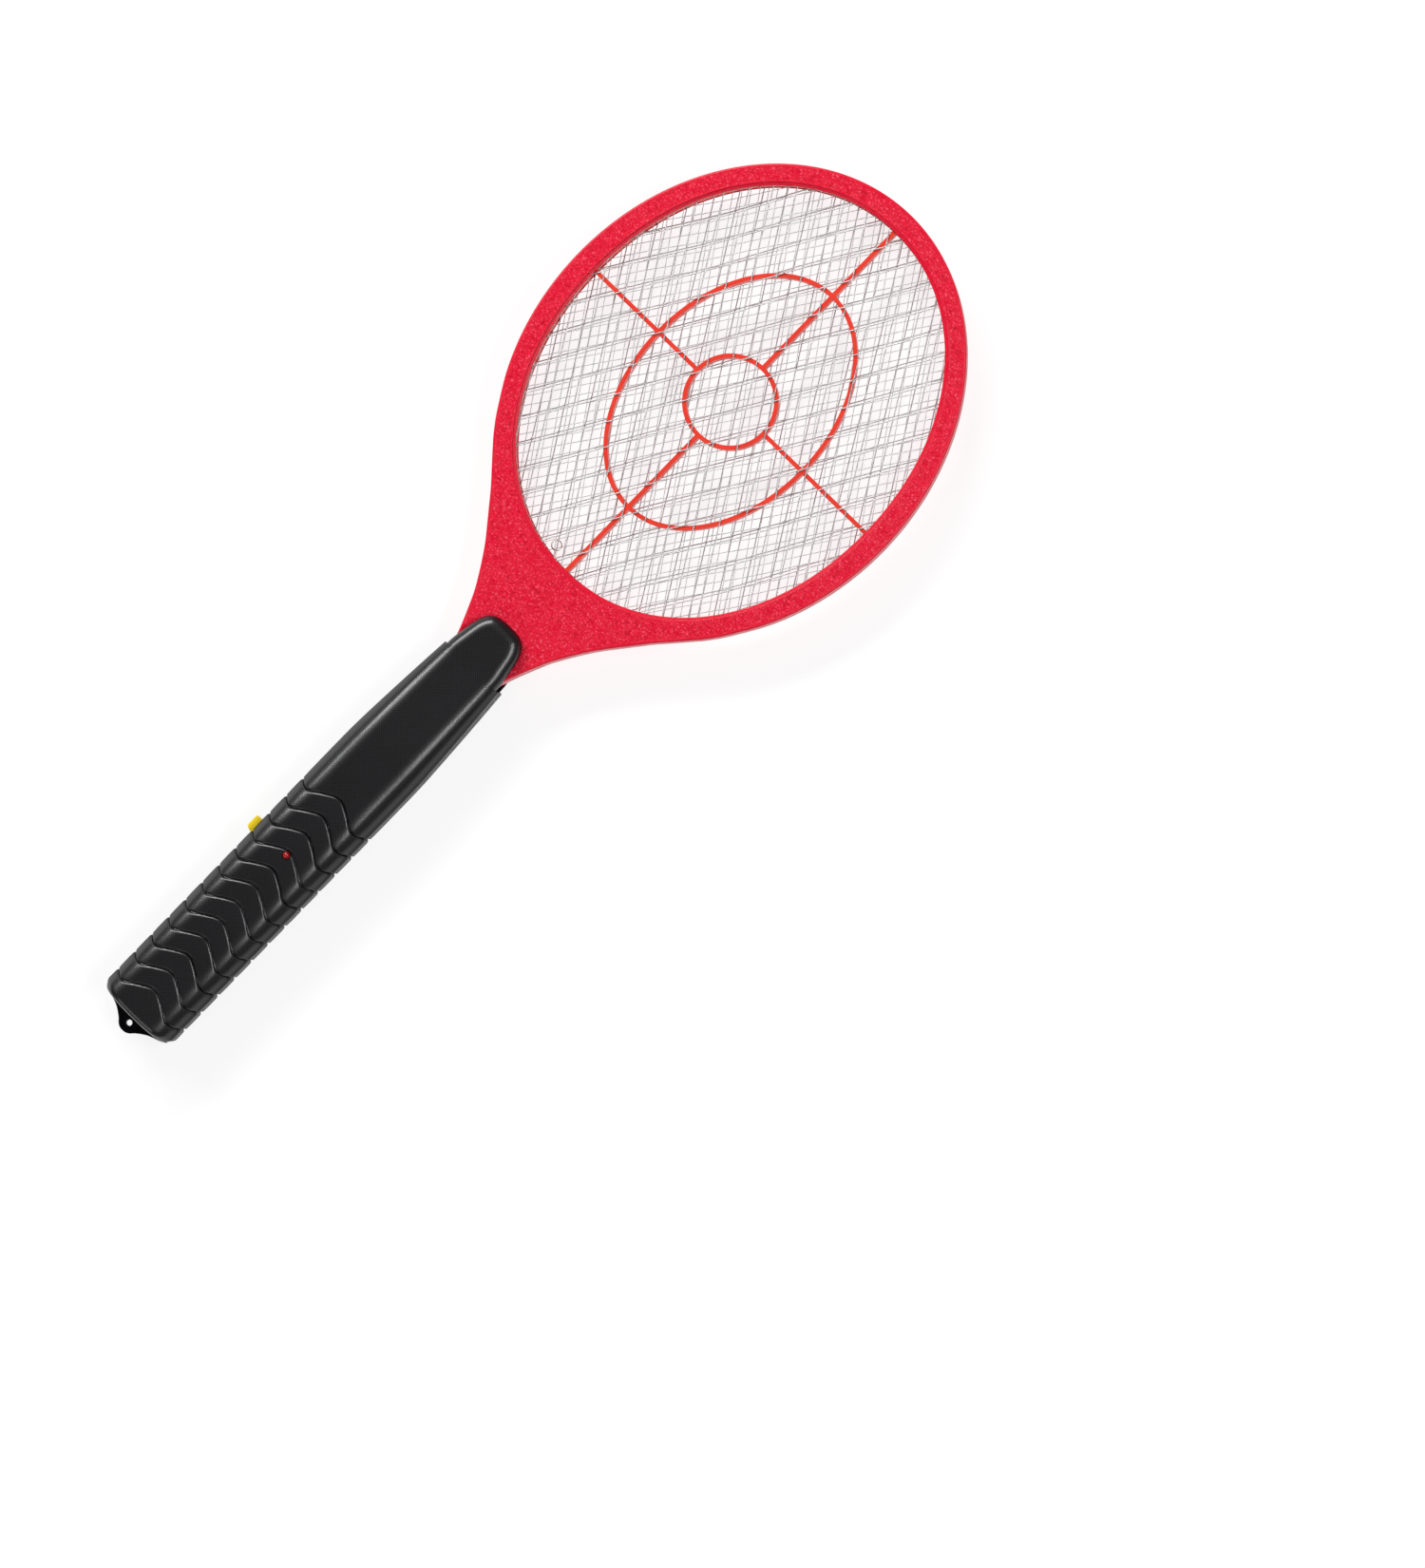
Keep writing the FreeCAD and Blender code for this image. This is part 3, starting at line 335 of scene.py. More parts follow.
LED = mat_led()

paint = {
    "front_frame": RED, "rear_frame": RED, "front_spacer": ORANGE, "rear_spacer": ORANGE, "front_net": NET_F,
    "middle_net": NET_M, "rear_net": NET_R, "net_contact_ring": STEEL, "net_tabs": STEEL, "front_net_lead": WIRE_K,
    "middle_net_lead": WIRE_W, "rear_net_lead": WIRE_K, "front_shell": BLACK, "rear_shell": BLACK, "battery_cover": BLACK,
    "push_button": YELLOW, "switch_plunger": WHITE, "switch_body": DARK, "indicator_led": LED, "transformer_core": FERRITE,
    "transformer_bobbin": WHITE, "transformer_winding": COPPER, "hv_capacitor": FILM, "ceramic_capacitors": CERAMIC,
    "rectifier_diodes": DARK, "resistors": TAN, "transistor": DARK, "circuit_board": BOARD, "battery_left": WRAP,
    "battery_right": WRAP, "battery_bridge": STEEL, "positive_contact": STEEL, "negative_contact": STEEL,
    "battery_springs": STEEL, "battery_lead_red": WIRE_R, "battery_lead_black": WIRE_K, "shell_screws": SCREW,
    "neck_screws": SCREW, "board_screws": SCREW}
for n, ob in nodes.items():
    m = paint.get(n, DARK)
    if not ob.material_slots:
        ob.data.materials.append(m)
    for s in ob.material_slots:
        s.material = m


# ---------------------------------------------------------------- head frames
FLARE = [(12.7, 200.0), (13.9, 203.6), (15.3, 207.2), (17.6, 212.7), (20.1, 218.3), (23.2, 223.8), (26.6, 229.3), (30.4, 234.9),
         (34.7, 240.4), (39.1, 245.9), (43.6, 251.5), (48.5, 257.0), (53.4, 262.5), (58.0, 267.9)]
HA, HB, OA, OB, PA, PB = 82.7, 100.3, 73.1, 91.2, 76.5, 94.6


def smooth_open(pts, per=24):
    pts = np.array(pts, float)
    p = np.vstack([2 * pts[0] - pts[1], pts, 2 * pts[-1] - pts[-2]])
    out = []
    for i in range(1, len(p) - 2):
        for t in np.linspace(0, 1, per, endpoint=False):
            a, b, c, d = p[i - 1], p[i], p[i + 1], p[i + 2]
            out.append(0.5 * ((2 * b) + (c - a) * t + (2 * a - 5 * b + 4 * c - d) * t * t + (3 * b - a - 3 * c + d) * t ** 3))
    out.append(p[-2])
    return np.array(out)


def resample(p, n):
    seg = np.hypot(*np.diff(p, axis=0).T)
    s = np.concatenate([[0], np.cumsum(seg)])
    t = np.linspace(0, s[-1], n)
    return np.stack([np.interp(t, s, p[:, 0]), np.interp(t, s, p[:, 1])], 1)


def head_side():
    side = list(FLARE)
    for deg in range(-40, 91, 10):
        t = math.radians(deg)
        side.append((HA * math.cos(t), HCY + HB * math.sin(t)))
    side[-1] = (0.0, HCY + HB)
    full = side + [(-x, y) for x, y in reversed(side[:-1])]
    c = smooth_open(full)
    return c


def frame_outline(step=0.42):
    c = head_side()
    n = int(np.hypot(*np.diff(c, axis=0).T).sum() / step)
    c = resample(c, n)
    neck_r = resample(np.array([(11.6, 170.0), (11.6, 196.6), (12.7, 200.0)]), 16)[:-1]
    neck_l = resample(np.array([(-12.7, 200.0), (-11.6, 196.6), (-11.6, 170.0)]), 16)[1:]
    bottom = resample(np.array([(-11.6, 170.0), (11.6, 170.0)]), 12)[1:-1]
    return np.vstack([neck_r, c, neck_l, bottom])


def oval_pts(a, b, n, power=2.06):
    t = np.linspace(0, 2 * np.pi, 6000, endpoint=False)
    c, s_ = np.cos(t), np.sin(t)
    x = a * np.sign(c) * np.abs(c) ** (2 / power)
    y = HCY + b * np.sign(s_) * np.abs(s_) ** (2 / power)
    p = np.stack([x, y], 1)
    p = np.vstack([p, p[:1]])
    return resample(p, n + 1)[:-1]


def normals_in(p):
    """Unit normals to the left of a closed curve (inwards when it runs anticlockwise)."""
    e = np.roll(p, -1, 0) - p
    e /= np.linalg.norm(e, axis=1)[:, None]
    t = e + np.roll(e, 1, 0)
    t /= np.linalg.norm(t, axis=1)[:, None]
    m = 1.0 / np.clip((t * e).sum(1), 0.6, 1.0)
    return np.stack([-t[:, 1] * m, t[:, 0] * m], 1)


def cell_noise(x, y, size, seed):
    """Distances to the nearest and second nearest of a set of scattered points."""
    r = np.random.RandomState(seed)
    table = r.rand(64, 64, 2)
    u, v = x / size, y / size
    iu, iv = np.floor(u).astype(int), np.floor(v).astype(int)
    f1 = np.full(x.shape, 9.0)
    f2 = np.full(x.shape, 9.0)
    for du in (-1, 0, 1):
        for dv in (-1, 0, 1):
            cu, cv = iu + du, iv + dv
            p = table[cu % 64, cv % 64]
            d = np.hypot(cu + p[..., 0] - u, cv + p[..., 1] - v)
            near = d < f1
            f2 = np.where(near, f1, np.minimum(f2, d))
            f1 = np.where(near, d, f1)
    return f1, f2


def value_noise(x, y, size, seed):
    r = np.random.RandomState(seed)
    table = r.rand(64, 64) * 2 - 1
    u, v = x / size, y / size
    iu, iv = np.floor(u).astype(int), np.floor(v).astype(int)
    fu, fv = u - iu, v - iv
    fu, fv = fu * fu * (3 - 2 * fu), fv * fv * (3 - 2 * fv)
    g = lambda i, j: table[i % 64, j % 64]
    return (g(iu, iv) * (1 - fu) * (1 - fv) + g(iu + 1, iv) * fu * (1 - fv) + g(iu, iv + 1) * (1 - fu) * fv + g(iu + 1, iv + 1) * fu * fv)


def grain(x, y, seed):
    """Leather grain: rounded pebbles of about a millimetre between wandering creases, 0 to 1."""
    wx = x + 0.45 * value_noise(x, y, 1.0, seed + 1) + 0.8 * value_noise(x, y, 2.6, seed + 2)
    wy = y + 0.45 * value_noise(x, y, 1.0, seed + 3) + 0.8 * value_noise(x, y, 2.6, seed + 4)
    f1, f2 = cell_noise(wx, wy, 1.08, seed)
    h = np.clip((f2 - f1) / 0.42, 0, 1)
    h = h * h * (3 - 2 * h)
    return 0.8 * h + 0.2 * (value_noise(x, y, 0.7, seed + 5) * 0.5 + 0.5)


def frame_piece(name, front, replaces, seed):
    out = frame_outline()
    n_o = len(out)
    n_i = 1260
    nin = normals_in(out)
    # ---- rings, from the top face's edge outwards and down
    rings_o = [(0.9 * (1 - math.sin(math.radians(a))), 0.9 * (1 - math.cos(math.radians(a)))) for a in (0, 15, 30, 45, 60, 75, 90)]
    prof_o = [(d, 19.5 - q) for d, q in rings_o] + [(0.0, 17.0), (0.0, 15.3), (0.0, 14.1), (0.06, 13.86), (0.30, 13.60), (0.34, MID + 0.02)]
    # inner rings: offset outwards from the opening, and height
    prof_i = [(1.55, 19.5), (1.42, 19.47), (1.30, 19.38), (1.22, 19.24), (1.18, 19.02), (1.10, 18.90), (0.95, 18.86), (0.50, 18.84), (0.26, 18.78),
              (0.08, 18.64), (0.0, 18.40), (0.0, 17.95), (0.12, 17.9), (PA - OA, 17.9), (PA - OA, MID + 0.02)]
    V, F = [], []
    # top points
    top_o = out + nin * prof_o[0][0]
    top_i = oval_pts(OA + prof_i[0][0], OB + prof_i[0][0], n_i)
    step = 0.36
    ys = np.arange(171.0, HCY + HB, step * 0.866)
    pts = []
    for k, y in enumerate(ys):
        w = 84.0
        xs = np.arange(-w, w, step) + (k % 2) * step / 2
        pts.append(np.stack([xs, np.full(len(xs), y)], 1))
    pts = np.vstack(pts)
    pts = pts + (np.random.RandomState(seed).rand(*pts.shape) - 0.5) * step * 0.22
    # keep what lies between the two curves
    rr = (np.abs(pts[:, 0]) / (OA + 1.68)) ** 2.06 + (np.abs(pts[:, 1] - HCY) / (OB + 1.68)) ** 2.06
    pts = pts[rr > 1]
    half = out[(out[:, 0] >= 0)]
    half = half[np.argsort(half[:, 1])]
    wmax = np.interp(pts[:, 1], half[:, 1], half[:, 0])
    pts = pts[np.abs(pts[:, 0]) < wmax - 0.4]
    kd = kdtree.KDTree(n_o)
    for i, p in enumerate(out):
        kd.insert((p[0], p[1], 0), i)
    kd.balance()
    dist = np.array([kd.find((p[0], p[1], 0))[2] for p in pts])
    keep = dist > 1.02
    pts, dist = pts[keep], dist[keep]
    allp = [Vector((float(p[0]), float(p[1]))) for p in np.vstack([top_o, top_i, pts])]
    edges = [(i, (i + 1) % n_o) for i in range(n_o)] + [(n_o + i, n_o + (i + 1) % n_i) for i in range(n_i)]
    cv, ce, cf, ov, oe, of_ = delaunay_2d_cdt(allp, edges, [], 1, 1e-6)
    cv = np.array([(p.x, p.y) for p in cv])
    tri = np.array([t for t in cf if len(t) == 3])
    ct = cv[tri].mean(1)
    rin = (np.abs(ct[:, 0]) / (OA + 1.55)) ** 2.06 + (np.abs(ct[:, 1] - HCY) / (OB + 1.55)) ** 2.06
    tri = tri[rin > 1]
    back = [-1] * len(cv)
    for i, src in enumerate(ov):
        for k in src:
            back[i] = k
            break
    z = np.full(len(cv), 19.5)
    idx = np.array(back)
    isgrid = idx >= n_o + n_i
    gi = idx[isgrid] - n_o - n_i
    gx, gy = cv[isgrid, 0], cv[isgrid, 1]
    ri = ((np.abs(gx) / (OA + 1.55)) ** 2.06 + (np.abs(gy - HCY) / (OB + 1.55)) ** 2.06 - 1) * 38
    fade = np.clip(np.minimum(dist[gi] - 0.90, ri + 0.05) / 0.35, 0, 1)
    z[isgrid] = 19.5 - 0.20 * (1 - grain(gx, gy, seed)) * fade
    for p, h in zip(cv, z):
        V.append((p[0], p[1], h))
    F += [tuple(t) for t in tri]
    map_o = {}
    map_i = {}
    for i, k in enumerate(back):
        if 0 <= k < n_o:
            map_o[k] = i
        elif n_o <= k < n_o + n_i:
            map_i[k - n_o] = i
    prev = [map_o[i] for i in range(n_o)]
    for d, zz in prof_o[1:]:
        base = len(V)
        ring = out + nin * d
        V += [(p[0], p[1], zz) for p in ring]
        cur = list(range(base, base + n_o))
        F += [(prev[i], prev[(i + 1) % n_o], cur[(i + 1) % n_o], cur[i]) for i in range(n_o)]
        prev = cur
    last_o = prev
    prev = [map_i[i] for i in range(n_i)]
    for d, zz in prof_i[1:]:
        base = len(V)
        ring = oval_pts(OA + d, OB + d, n_i)
        V += [(p[0], p[1], zz) for p in ring]
        cur = list(range(base, base + n_i))
        F += [(prev[(i + 1) % n_i], prev[i], cur[i], cur[(i + 1) % n_i]) for i in range(n_i)]
        prev = cur
    last_i = prev
    # underside
    bp = [Vector((float(V[i][0]), float(V[i][1]))) for i in last_o] + [Vector((float(V[i][0]), float(V[i][1]))) for i in last_i]
    cv2, ce2, cf2, ov2, oe2, of2 = delaunay_2d_cdt(bp, edges, [], 1, 1e-6)
    cv2 = np.array([(p.x, p.y) for p in cv2])
    ids = last_o + last_i
    back2 = [(ids[src[0]] if len(src) else -1) for src in ov2]
    for t in cf2:
        c = cv2[list(t)].mean(0)
        if (abs(c[0]) / PA) ** 2.06 + (abs(c[1] - HCY) / PB) ** 2.06 <= 1:
            continue
        q = tuple(back2[k] for k in t)
        if min(q) >= 0:
            F.append(q)
    V = np.array(V)
    if not front:
        V[:, 2] = 2 * MID - V[:, 2]
    ob = new_piece(name, V, F, "racket", RED, smooth=True, replaces=replaces)
    # grain height kept for the red material, whose colour ramp paints creases darker as painted shade and ridge tops
    # lighter as painted highlight
    gval = np.full(len(V), 0.62)
    g_in = gval[:len(cv)]
    g_in[isgrid] = 0.62 + (grain(gx, gy, seed) - 0.62) * fade
    att = ob.data.attributes.new("grain", "FLOAT", "POINT")
    att.data.foreach_set("value", gval.astype(np.float32))
    bm = bmesh.new()
    bm.from_mesh(ob.data)
    bmesh.ops.recalc_face_normals(bm, faces=bm.faces)
    open_e = sum(1 for e in bm.edges if len(e.link_faces) != 2)
    print("FRAME", name, len(bm.verts), len(bm.faces), "open edges", open_e)
    bm.to_mesh(ob.data)
    bm.free()
    ob.data.set_sharp_from_angle(angle=math.radians(50))
    return ob


frame_piece("frame_front", True, ["front_frame"], 11)
frame_piece("frame_rear", False, ["rear_frame"], 29)


# ---------------------------------------------------------------- nets
def strand_net(name, px, py, width, thick, bond, phase, zc, ea, eb, body, mat, replaces, wob=0.25, per=10, sect=6, twist=0.0):
    """Zig-zag strands that run along Y and touch their neighbours at the bonds."""
    verts, faces = [], []
    kmax = int(ea / (px / 2)) + 3
    half = py / 2
    for k in range(-kmax, kmax):
        xl = phase[0] + k * px / 2
        odd_l = k % 2
        off = width * 0.47
        # knots along the strand: nodes on its left column and on its right column
        y0 = phase[1] + (half if odd_l else 0.0)
        jmax = int(eb / py) + 3
        pts = []
        for j in range(-jmax, jmax + 1):
            for side in (0, 1):
                yn = y0 + j * py + side * half
                xn = xl + off if side == 0 else xl + px / 2 - off
                xo = xl + px / 2 - off if side == 0 else xl + off
                b = bond / 2
                # bond, bend, slanted run, bend
                for u in np.linspace(0, 1, per, endpoint=False):
                    yy = yn + (u - 0.0) * half
                    d = (yy - yn)
                    if d < b * 0.75:
                        w = 0.0
                    elif d > half - b * 0.75:
                        w = 1.0
                    else:
                        w = (d - b * 0.75) / (half - b * 1.5)
                    pts.append((xn + (xo - xn) * w, yy, side, w))
        pts = np.array(pts)
        x, y = pts[:, 0].copy(), pts[:, 1].copy()
        # slow, small irregularity of a hand-stretched sheet
        wx = wob * (np.sin(y * 0.061 + k * 0.37) * 0.5 + np.sin(x * 0.083 + y * 0.029 + 1.3) * 0.8)
        wy = wob * (np.sin(x * 0.071 + 0.6) * 0.7 + np.sin(y * 0.043 + x * 0.05 + 2.1) * 0.6)
        x += wx
        y += wy
        inside = (x / ea) ** 2 + ((y - HCY) / eb) ** 2 <= 1.0
        idx = np.where(inside)[0]
        if len(idx) < 3:
            continue
        i0, i1 = idx[0], idx[-1]
        P = [np.array([x[i], y[i]]) for i in range(i0, i1 + 1)]
        for end, nb in ((0, i0 - 1), (-1, i1 + 1)):      # run on to the edge exactly
            if 0 <= nb < len(x):
                a, b2 = P[end], np.array([x[nb], y[nb]])
                lo, hi = 0.0, 1.0
                for _ in range(20):
                    md = (lo + hi) / 2
                    q = a + (b2 - a) * md
                    if (q[0] / ea) ** 2 + ((q[1] - HCY) / eb) ** 2 <= 1:
                        lo = md
                    else:
                        hi = md
                q = a + (b2 - a) * lo
                if np.hypot(*(q - a)) > 0.05:
                    P.insert(0 if end == 0 else len(P), q)
        P = np.array(P)
        T = np.gradient(P, axis=0)
        T /= np.linalg.norm(T, axis=1)[:, None] + 1e-12
        N = np.stack([-T[:, 1], T[:, 0]], 1)
        base = len(verts)
        hw, ht = width / 2, thick / 2
        if sect == 4:
            prof = [(-hw, -ht), (hw, -ht), (hw, ht), (-hw, ht)]
        else:
            c = 0.34
            prof = [(-hw, -ht * c), (-hw * c, -ht), (hw * c, -ht), (hw, -ht * c), (hw, ht * c), (hw * c, ht), (-hw * c, ht), (-hw, ht * c)]
        for i in range(len(P)):
            tw = twist * math.sin((P[i, 1] - phase[1]) / half * math.pi + odd_l * math.pi)
            ct, st = math.cos(tw), math.sin(tw)
            for a, b3 in prof:
                aa, bb = a * ct - b3 * st, a * st + b3 * ct
                verts.append((P[i, 0] + N[i, 0] * aa, P[i, 1] + N[i, 1] * aa, zc + bb))
        m = len(prof)
        faces += grid_faces(len(P), m, True, base, flip=False)
        faces.append(tuple(base + j for j in range(m)))
        faces.append(tuple(base + (len(P) - 1) * m + j for j in reversed(range(m))))
    ob = new_piece(name, verts, faces, body, mat, smooth=True, replaces=replaces, sharp=50)
    bm = bmesh.new()
    bm.from_mesh(ob.data)
    bmesh.ops.recalc_face_normals(bm, faces=bm.faces)
    bm.to_mesh(ob.data)
    bm.free()
    return ob


EA, EB = 75.6, 93.7
strand_net("net_front_wires", 10.97, 18.25, 0.47, 0.40, 1.2, (-4.4, 342.3), MID + 4.0, EA, EB, "racket", NET_F, ["front_net"], 0.35, 12, 8, 0.35)
strand_net("net_rear_wires", 10.97, 18.25, 0.45, 0.40, 1.2, (-7.9, 340.0), MID - 4.0, EA, EB, "racket", NET_R, ["rear_net"], 0.45, 12, 8, 0.35)
strand_net("net_fine_wires", 4.32, 6.17, 0.27, 0.24, 0.4, (0.9, 341.2), MID, EA, EB, "racket", NET_M, ["middle_net"], 0.30, 5, 4, 0.0)


# ---------------------------------------------------------------- handle shells
W_TAB = np.array([(11.0, 17.5), (146.0, 17.5), (152.0, 17.3), (163.0, 16.7), (174.0, 16.05), (185.0, 15.3), (190.6, 14.9), (196.5, 14.4), (210, 13.35)])
_yy = np.arange(100, 205, 0.5)
_ww = np.interp(_yy, W_TAB[:, 0], W_TAB[:, 1])
_kern = np.exp(-0.5 * (np.arange(-16, 17) * 0.5 / 3.0) ** 2)
_kern /= _kern.sum()
_ws = np.convolve(np.pad(_ww, 16, mode="edge"), _kern, mode="valid")
BUTT_Y = np.array([7.3, 7.36, 7.6, 8.0, 8.6, 9.3, 10.0, 10.6, 11.1, 12.5])
BUTT_W = np.array([14.6, 14.95, 15.3, 15.65, 16.1, 16.6, 17.05, 17.33, 17.46, 17.5])


def half_width(y):
    if y < 12.5:
        return float(np.interp(y, BUTT_Y, BUTT_W))
    if y < 130:
        return 17.5
    return float(np.interp(y, _yy, _ws))


CHEV = np.array([(0, 0), (1.5, 0.22), (3.0, 0.85), (5.0, 2.0), (8.0, 3.9), (10.5, 5.45), (12.2, 6.25), (13.4, 6.45), (14.6, 6.2), (16.0, 5.4), (17.5, 4.6), (19.5, 4.2)])
_cx = np.linspace(0, 19.5, 400)
_cy = np.interp(_cx, CHEV[:, 0], CHEV[:, 1])
_ck = np.exp(-0.5 * (np.arange(-24, 25) * (19.5 / 399) / 0.55) ** 2)
_ck /= _ck.sum()
_cy = np.convolve(np.concatenate([_cy[24:0:-1], _cy, np.full(24, _cy[-1])]), _ck, mode="valid")
_cs = np.gradient(_cy, _cx)


def chevron(ax):
    return np.interp(ax, _cx, _cy), np.interp(ax, _cx, _cs)


PITCH, FIRST, COUNT = 9.37, 124.6, 12


def groove_disp(x, y, flank):
    """How far the surface stands back, in mm (negative is inwards). flank is the run down the vertical side."""
    ax = np.minimum(np.abs(x), 17.5) + 0.25 * flank
    cy, cs = chevron(np.minimum(ax, 19.5))
    yb = y + cy                               # height above the chevron through the origin
    k = (FIRST - yb) / PITCH                  # 0 at the first groove, 11 at the last
    near = np.clip(np.round(k), 0, COUNT - 1)
    q = (FIRST - PITCH * near - yb) / np.sqrt(1 + cs * cs)      # + towards the butt
    side = np.where(q > 0, q, -q)
    # a narrow floor with a steep head-side wall and a rounded butt-side lip
    g = np.where(q < 0, np.interp(side, [0, 0.16, 0.40, 0.52, 0.62], [1.0, 0.97, 0.16, 0.03, 0.0]),
                 np.interp(side, [0, 0.16, 0.42, 0.90, 1.02], [1.0, 0.97, 0.28, 0.03, 0.0]))
    d = -0.80 * g
    # shallow roll of each band towards its edges
    inband = (k > 0) & (k < COUNT - 1)
    u = k - np.floor(k)
    roll = -0.26 * (np.exp(-(u * PITCH / 1.5)) * 0.55 + np.exp(-((1 - u) * PITCH / 2.1)) * 0.75)
    edge_hi = -0.26 * 0.75 * np.exp(-np.maximum(-k, 0) * PITCH / 2.1)
    edge_lo = -0.26 * 0.55 * np.exp(-np.maximum(k - (COUNT - 1), 0) * PITCH / 1.5)
    d = d + np.where(inband, roll, np.where(k <= 0, edge_hi, edge_lo))
    return d


TONGUE = np.array([(13.25, 193.5), (13.22, 198.0), (12.95, 201.0), (12.35, 204.5), (11.7, 208.5), (10.9, 211.8), (9.6, 214.6), (7.4, 216.9), (4.2, 217.95), (0, 218.2)])


def smooth_curve(pts, n=240):
    """Catmull-Rom through the points of an open curve."""
    p = np.vstack([2 * pts[0] - pts[1], pts, 2 * pts[-1] - pts[-2]])
    out = []
    for i in range(1, len(p) - 2):
        for t in np.linspace(0, 1, n // (len(p) - 3), endpoint=False):
            a, b, c, d = p[i - 1], p[i], p[i + 1], p[i + 2]
            out.append(0.5 * ((2 * b) + (c - a) * t + (2 * a - 5 * b + 4 * c - d) * t * t + (3 * b - a - 3 * c + d) * t ** 3))
    out.append(p[-2])
    return np.array(out)


_full = np.vstack([TONGUE, TONGUE[::-1][1:] * [-1, 1]])
TCURVE = smooth_curve(_full, 480)
_right = TCURVE[:len(TCURVE) // 2 + 1]


def tongue_half(y):
    r = _right[np.argsort(_right[:, 1])]
    return float(np.interp(y, r[:, 1], np.maximum(r[:, 0], 0)))


def tongue_drop(x, y, r):
    d = np.min(np.hypot(TCURVE[:, 0][None, :] - x[:, None], TCURVE[:, 1][None, :] - y), axis=1)
    d = np.minimum(d, r)
    return r - np.sqrt(np.maximum(r * r - (r - d) ** 2, 0))


N_FL = 9


def corner_angles(r, w):
    """Angles round a corner, with two columns that lie at 12.0 and 12.3 mm from the middle."""
    c = w - r
    a0, a1 = math.asin(min(max((12.0 - c) / r, 0.06), 0.90)), math.asin(min(max((12.3 - c) / r, 0.09), 0.94))
    return [0.0, a0 / 3, 2 * a0 / 3, a0, a1] + [a1 + (math.pi / 2 - a1) * k / 9 for k in range(1, 10)]


PLAT = np.linspace(-9, 9, 49)


def shell_section(y, top, surf):
    """Half-section at y: points (x, z, flank run), for a shell whose flat lies at height top above the parting plane."""
    w = half_width(y)
    r = corner_radius(w, y)
    zt = MID + top
    pts = []
    for i in range(N_FL):
        t = i / N_FL
        z = MID + t * (zt - r - MID)
        pts.append((-w, z, zt - r - z))
    for a in reversed(corner_angles(r, w)):
        pts.append((-(w - r) - r * math.sin(a), zt - r + r * math.cos(a), 0))
    for x in PLAT[1:-1]:
        pts.append((x / 9.0 * (w - r), zt, 0))
    for a in corner_angles(r, w):
        pts.append(((w - r) + r * math.sin(a), zt - r + r * math.cos(a), 0))
    for i in reversed(range(N_FL)):
        t = i / N_FL
        z = MID + t * (zt - r - MID)
        pts.append((w, z, zt - r - z))
    return np.array(pts)


def corner_radius(w, y):
    return max(w - 8.0, 1.0)


def shell_rows(front):
    """Rows of outline points for half a handle, and how far each point is pushed in or out by the grip's pattern."""
    rows, offs = [], []
    if front:                     # rows run along the chevrons, close together at each groove
        near = [-1.1, -0.80, -0.62, -0.52, -0.40, -0.28, -0.16, 0.0, 0.16, 0.28, 0.42, 0.58, 0.74, 0.90, 1.02, 1.25, 1.6, 2.2]
        far = [3.0, 3.9, 4.9, 5.9, 6.8, 7.5]
        yl = [13.2, 14.1, 15.0, 15.9, 16.8, 17.7]
        for k in range(COUNT):
            g = FIRST - PITCH * k
            yl += [g - 1.2 * q for q in near] + [g - 1.2 * 2.2 - (q - 2.2) for q in far if g - 1.2 * 2.2 - (q - 2.2) > 18.4]
        yl += [g for g in np.arange(FIRST + 2.0, 146.0, 1.0)] + list(np.arange(146.5, 196.0, 1.5)) + [196.2, 196.5]
    else:
        yl = list(np.arange(13.0, 69.5, 0.40)) + [69.7, 70.0, 70.3, 70.65] + list(np.arange(71.0, 131.0, 0.40)) + \
            list(np.arange(131.5, 196.0, 1.5)) + [196.2, 196.5]
    yl = sorted(set(round(float(v), 3) for v in list(BUTT_Y) + yl))
    for y in yl:
        top = 13.5
        if front and y > 150.0:
            u = (y - 150.0) / 46.5
            top = 13.5 - 1.5 * (u * u * (3 - 2 * u) * 0.5 + u * 0.5)
        s = shell_section(y, top, 0)
        x, z, fl = s[:, 0].copy(), s[:, 1].copy(), s[:, 2]
        yy = np.full(len(x), float(y))
        if front:
            sh = min(max((y - 12.5) / 7.4, 0.0), 1.0) if y < 100 else min(max((145.0 - y) / 18.0, 0.0), 1.0)
            cy, cs = chevron(np.minimum(np.minimum(np.abs(x), 17.5) + 0.25 * fl, 19.5))
            yy = yy - sh * cy
        dx, dz = np.gradient(x), np.gradient(z)
        ln = np.hypot(dx, dz) + 1e-9
        nx, nz = -dz / ln, dx / ln
        flip = (nx * x + nz * (z - MID - 2)) < 0
        nx, nz = np.where(flip, -nx, nx), np.where(flip, -nz, nz)
        d = groove_disp(x, yy, fl) if 6.9 < y < 140 else np.zeros(len(x))
        if y < 13.0:                        # convex end, with the edge of its face rounded
            yy = yy + 0.9 * (np.abs(x) / 15.0) ** 2 * min(max((13.0 - y) / 5.7, 0.0), 1.0)
        if y < 10.0:
            e = y - 7.3
            rr = 2.2
            drop = rr - math.sqrt(max(rr * rr - (rr - min(e, rr)) ** 2, 0))
            z -= drop * np.clip((z - MID) / 9.0, 0, 1) ** 1.5
            d = d * min(1, e / 2.0)
        side = np.ones(len(x)) if front else np.clip((np.abs(x) - 12.45) / 1.2, 0, 1)
        cham = np.where(z - MID < 0.02, 0.22, 0.0)      # fine chamfer along the parting line
        off = np.stack([nx * d * side - np.sign(x) * cham, np.zeros(len(x)), nz * d], 1)
        z = np.maximum(z, MID + 0.01)
        rows.append(np.stack([x, yy, z], 1))
        offs.append(off)
    first = rows[0]
    pre = []
    for zc in (MID + 0.01, MID + 3.0, 21.8, 22.1):       # butt face: straight down from the first row
        r0 = first.copy()
        r0[:, 2] = np.minimum(first[:, 2], zc)
        pre.append(r0)
    rows = pre + rows
    offs = [offs[0] * 0] * 4 + offs
    return np.array(rows), np.array(offs)


